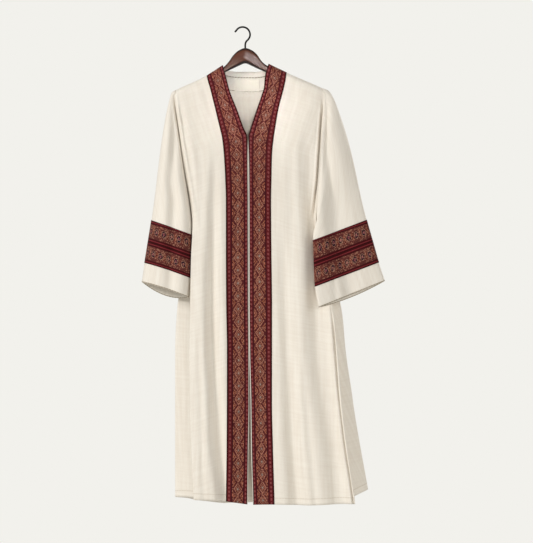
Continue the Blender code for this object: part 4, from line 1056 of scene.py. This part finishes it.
front_ribbon = surface("jacquard ribbon, maroon and rose, lozenges", 0.8, sockets=MATT)
lozenges(front_ribbon)
for side in (RIGHT, LEFT):
    grid = fronts[side.name]
    raised = (grid + normals(grid) * side.outward * LIFT)[:, : FRONT_COUNTS[0] + 1]
    step = raised[:, 1] - raised[:, 0]
    raised[:, 0] += step * (EDGE_INSET.at("inset", grid[:, 0, 2]) / np.linalg.norm(step, axis=1))[:, None]
    raised[0, :, 1] -= SEWN
    sewn_ribbon(f"ribbon_front_{side.name}", raised, front_ribbon)
outer = neck - normals(neck) * LIFT
outer[:, (0, -1), 1] += SEWN
sewn_ribbon("ribbon_back", np.swapaxes(outer, 0, 1), front_ribbon)


# The sleeves' two rows of ribbon: the same weave and width, with oval medallions and scrolls
# between them, sewn flat round the sleeve one above the other.

# How often the ovals come again, their half sizes, half the field's width, and the scrolls' size.
OVALS, OVAL_HALF, OVAL_TALL, SLEEVE_FIELD = 26.0, 8.8, 12.6, 22.0
SCROLL_WIDE, SCROLL_TALL = 6.0, 17.0
# The sleeve is curved, so its ribbon lies a little further out.
SLEEVE_LIFT = LIFT + 0.1


def medallions(finish):
    node = partial(add, finish)
    along, across, shade, fleck = stitches(node)
    bands = stripes(node, across, [
        (0, "3A0609"), (4, "74262A"), (7.4, "3E080C"), (13, "6A3428"), (57, "3E080C"), (62.6, "74262A"),
        (66, "3A0609"),
    ])
    run_u = node("Math PINGPONG", (along, OVALS / 2))
    middle = from_line(node, across, RIBBON_WIDE / 2)
    oval = spot(node, run_u, OVAL_HALF, middle, OVAL_TALL)
    ovals = yarns(node, oval, [(0, "80464A"), (0.14, "241420"), (0.6, "A0705E"), (0.8, "3E161A")])
    between = node("Math SUBTRACT", (OVALS / 2, run_u))
    between = node("Math DIVIDE", (between, SCROLL_WIDE))
    outwards = node("Math DIVIDE", (middle, SCROLL_TALL))
    scrolls = yarns(node, node("Math ADD", (between, outwards)), [
        (0, "3C1418"), (0.3, "9C5640"), (0.56, "451618"), (0.8, "8A4634"), (0.95, "62302A"),
    ])
    inside = node("Math LESS_THAN", (oval, 1.0))
    field = node("Mix RGBA", {0: inside, 6: scrolls, 7: ovals}, out=2)
    field = flecked(node, field, fleck, "AC7C64", "2E1014", 0.5)
    inside = node("Math LESS_THAN", (middle, SLEEVE_FIELD))
    colour = node("Mix RGBA", {0: inside, 6: bands, 7: field}, out=2)
    woven(finish, colour, shade)


sleeve_ribbon = surface("jacquard ribbon, maroon and rose, medallions", 0.8, sockets=MATT)
medallions(sleeve_ribbon)
rows = [int(np.argmin(np.abs(SLEEVE_RINGS - v))) for v in (RIBBON_TOP, RIBBON_MIDDLE, RIBBON_BOTTOM)]
for side in (RIGHT, LEFT):
    grid = sleeves[side.name]
    raised = grid - side.outward * normals(grid, closed=True) * SLEEVE_LIFT
    for name, first, last in zip(("upper", "lower"), rows, rows[1:]):
        strip = np.swapaxes(raised[first : last + 1], 0, 1)
        sewn_ribbon(f"sleeve_ribbon_{name}_{side.name}", strip, sleeve_ribbon)


# Inside the back of the neck: a narrow band of linen along the top, and a facing below it, both
# turned in and stitched along their lower edges, the stitches painted dark as the shadow under the edges.
# They span these columns of the neck's grid, and the band takes this share of its height.
LINING_WALL, LINING_FIRST, LINING_LAST, BAND_SHARE = 0.9, 15, 56, 0.32
# How far their edges are drawn back, as shares of the last step, so that they lie apart.
BAND_BACK, FACING_BACK = 0.1, 0.3
# The same cream linen, painted paler than the rest to stand for light inside the neck, as matt as
# the rest, with its stitches in a darker thread that is also painted shadow under the lower edges.
facing_linen_painted_paler = surface("linen facing, cream, plain weave", 0.9, sockets={"Sheen Weight": 0.05})
weave(facing_linen_painted_paler, "F4EEE4", "E6DDD0", 2.0, "9C8E78")
sunk = neck + normals(neck) * (LINEN_WALL / 2 + SEWN + LINING_WALL / 2)
band_end = int(np.argmin(np.abs(NECK_ROWS - BAND_SHARE))) + 1
collar = sunk[:band_end, LINING_FIRST:LINING_LAST].copy()
collar[-1] += (collar[-2] - collar[-1]) * BAND_BACK
cloth("neck_band", [collar], LINING_WALL, facing_linen_painted_paler)
facing = sunk[band_end - 1 :, LINING_FIRST:LINING_LAST].copy()
facing[0] += (facing[1] - facing[0]) * BAND_BACK
facing[-1] += (facing[-2] - facing[-1]) * FACING_BACK
cloth("neck_facing", [facing], LINING_WALL, facing_linen_painted_paler)


# The label: a thin strip of woven satin, bare, sewn flat on the facing along its edges.
# Satin is smoother than the linen, so it's a little less matt.
LABEL_LEFT, LABEL_RIGHT, LABEL_TOP, LABEL_BOTTOM, LABEL_WALL = -25.0, 52.4, -160.0, -197.4, 0.6
LABEL_LIFT, LABEL_COLUMNS, LABEL_ROWS = 0.3, 40, 20
satin = surface("satin label, woven, bare", 0.62, "E9E2D4", {"Sheen Weight": 0.1})


def on_facing(x, z):
    ys = [np.interp(x, row[:, 0], row[:, 1]) for row in facing]
    zs = [-np.interp(x, row[:, 0], row[:, 2]) for row in facing]
    return (x, np.interp(-z, zs, ys), z)


label = np.array([
    [on_facing(x, z) for x in np.linspace(LABEL_LEFT, LABEL_RIGHT, LABEL_COLUMNS)]
    for z in np.linspace(LABEL_TOP, LABEL_BOTTOM, LABEL_ROWS)
])
label += normals(label) * (LINING_WALL / 2 + LABEL_LIFT + LABEL_WALL / 2)
cloth("label", [label], LABEL_WALL, satin)
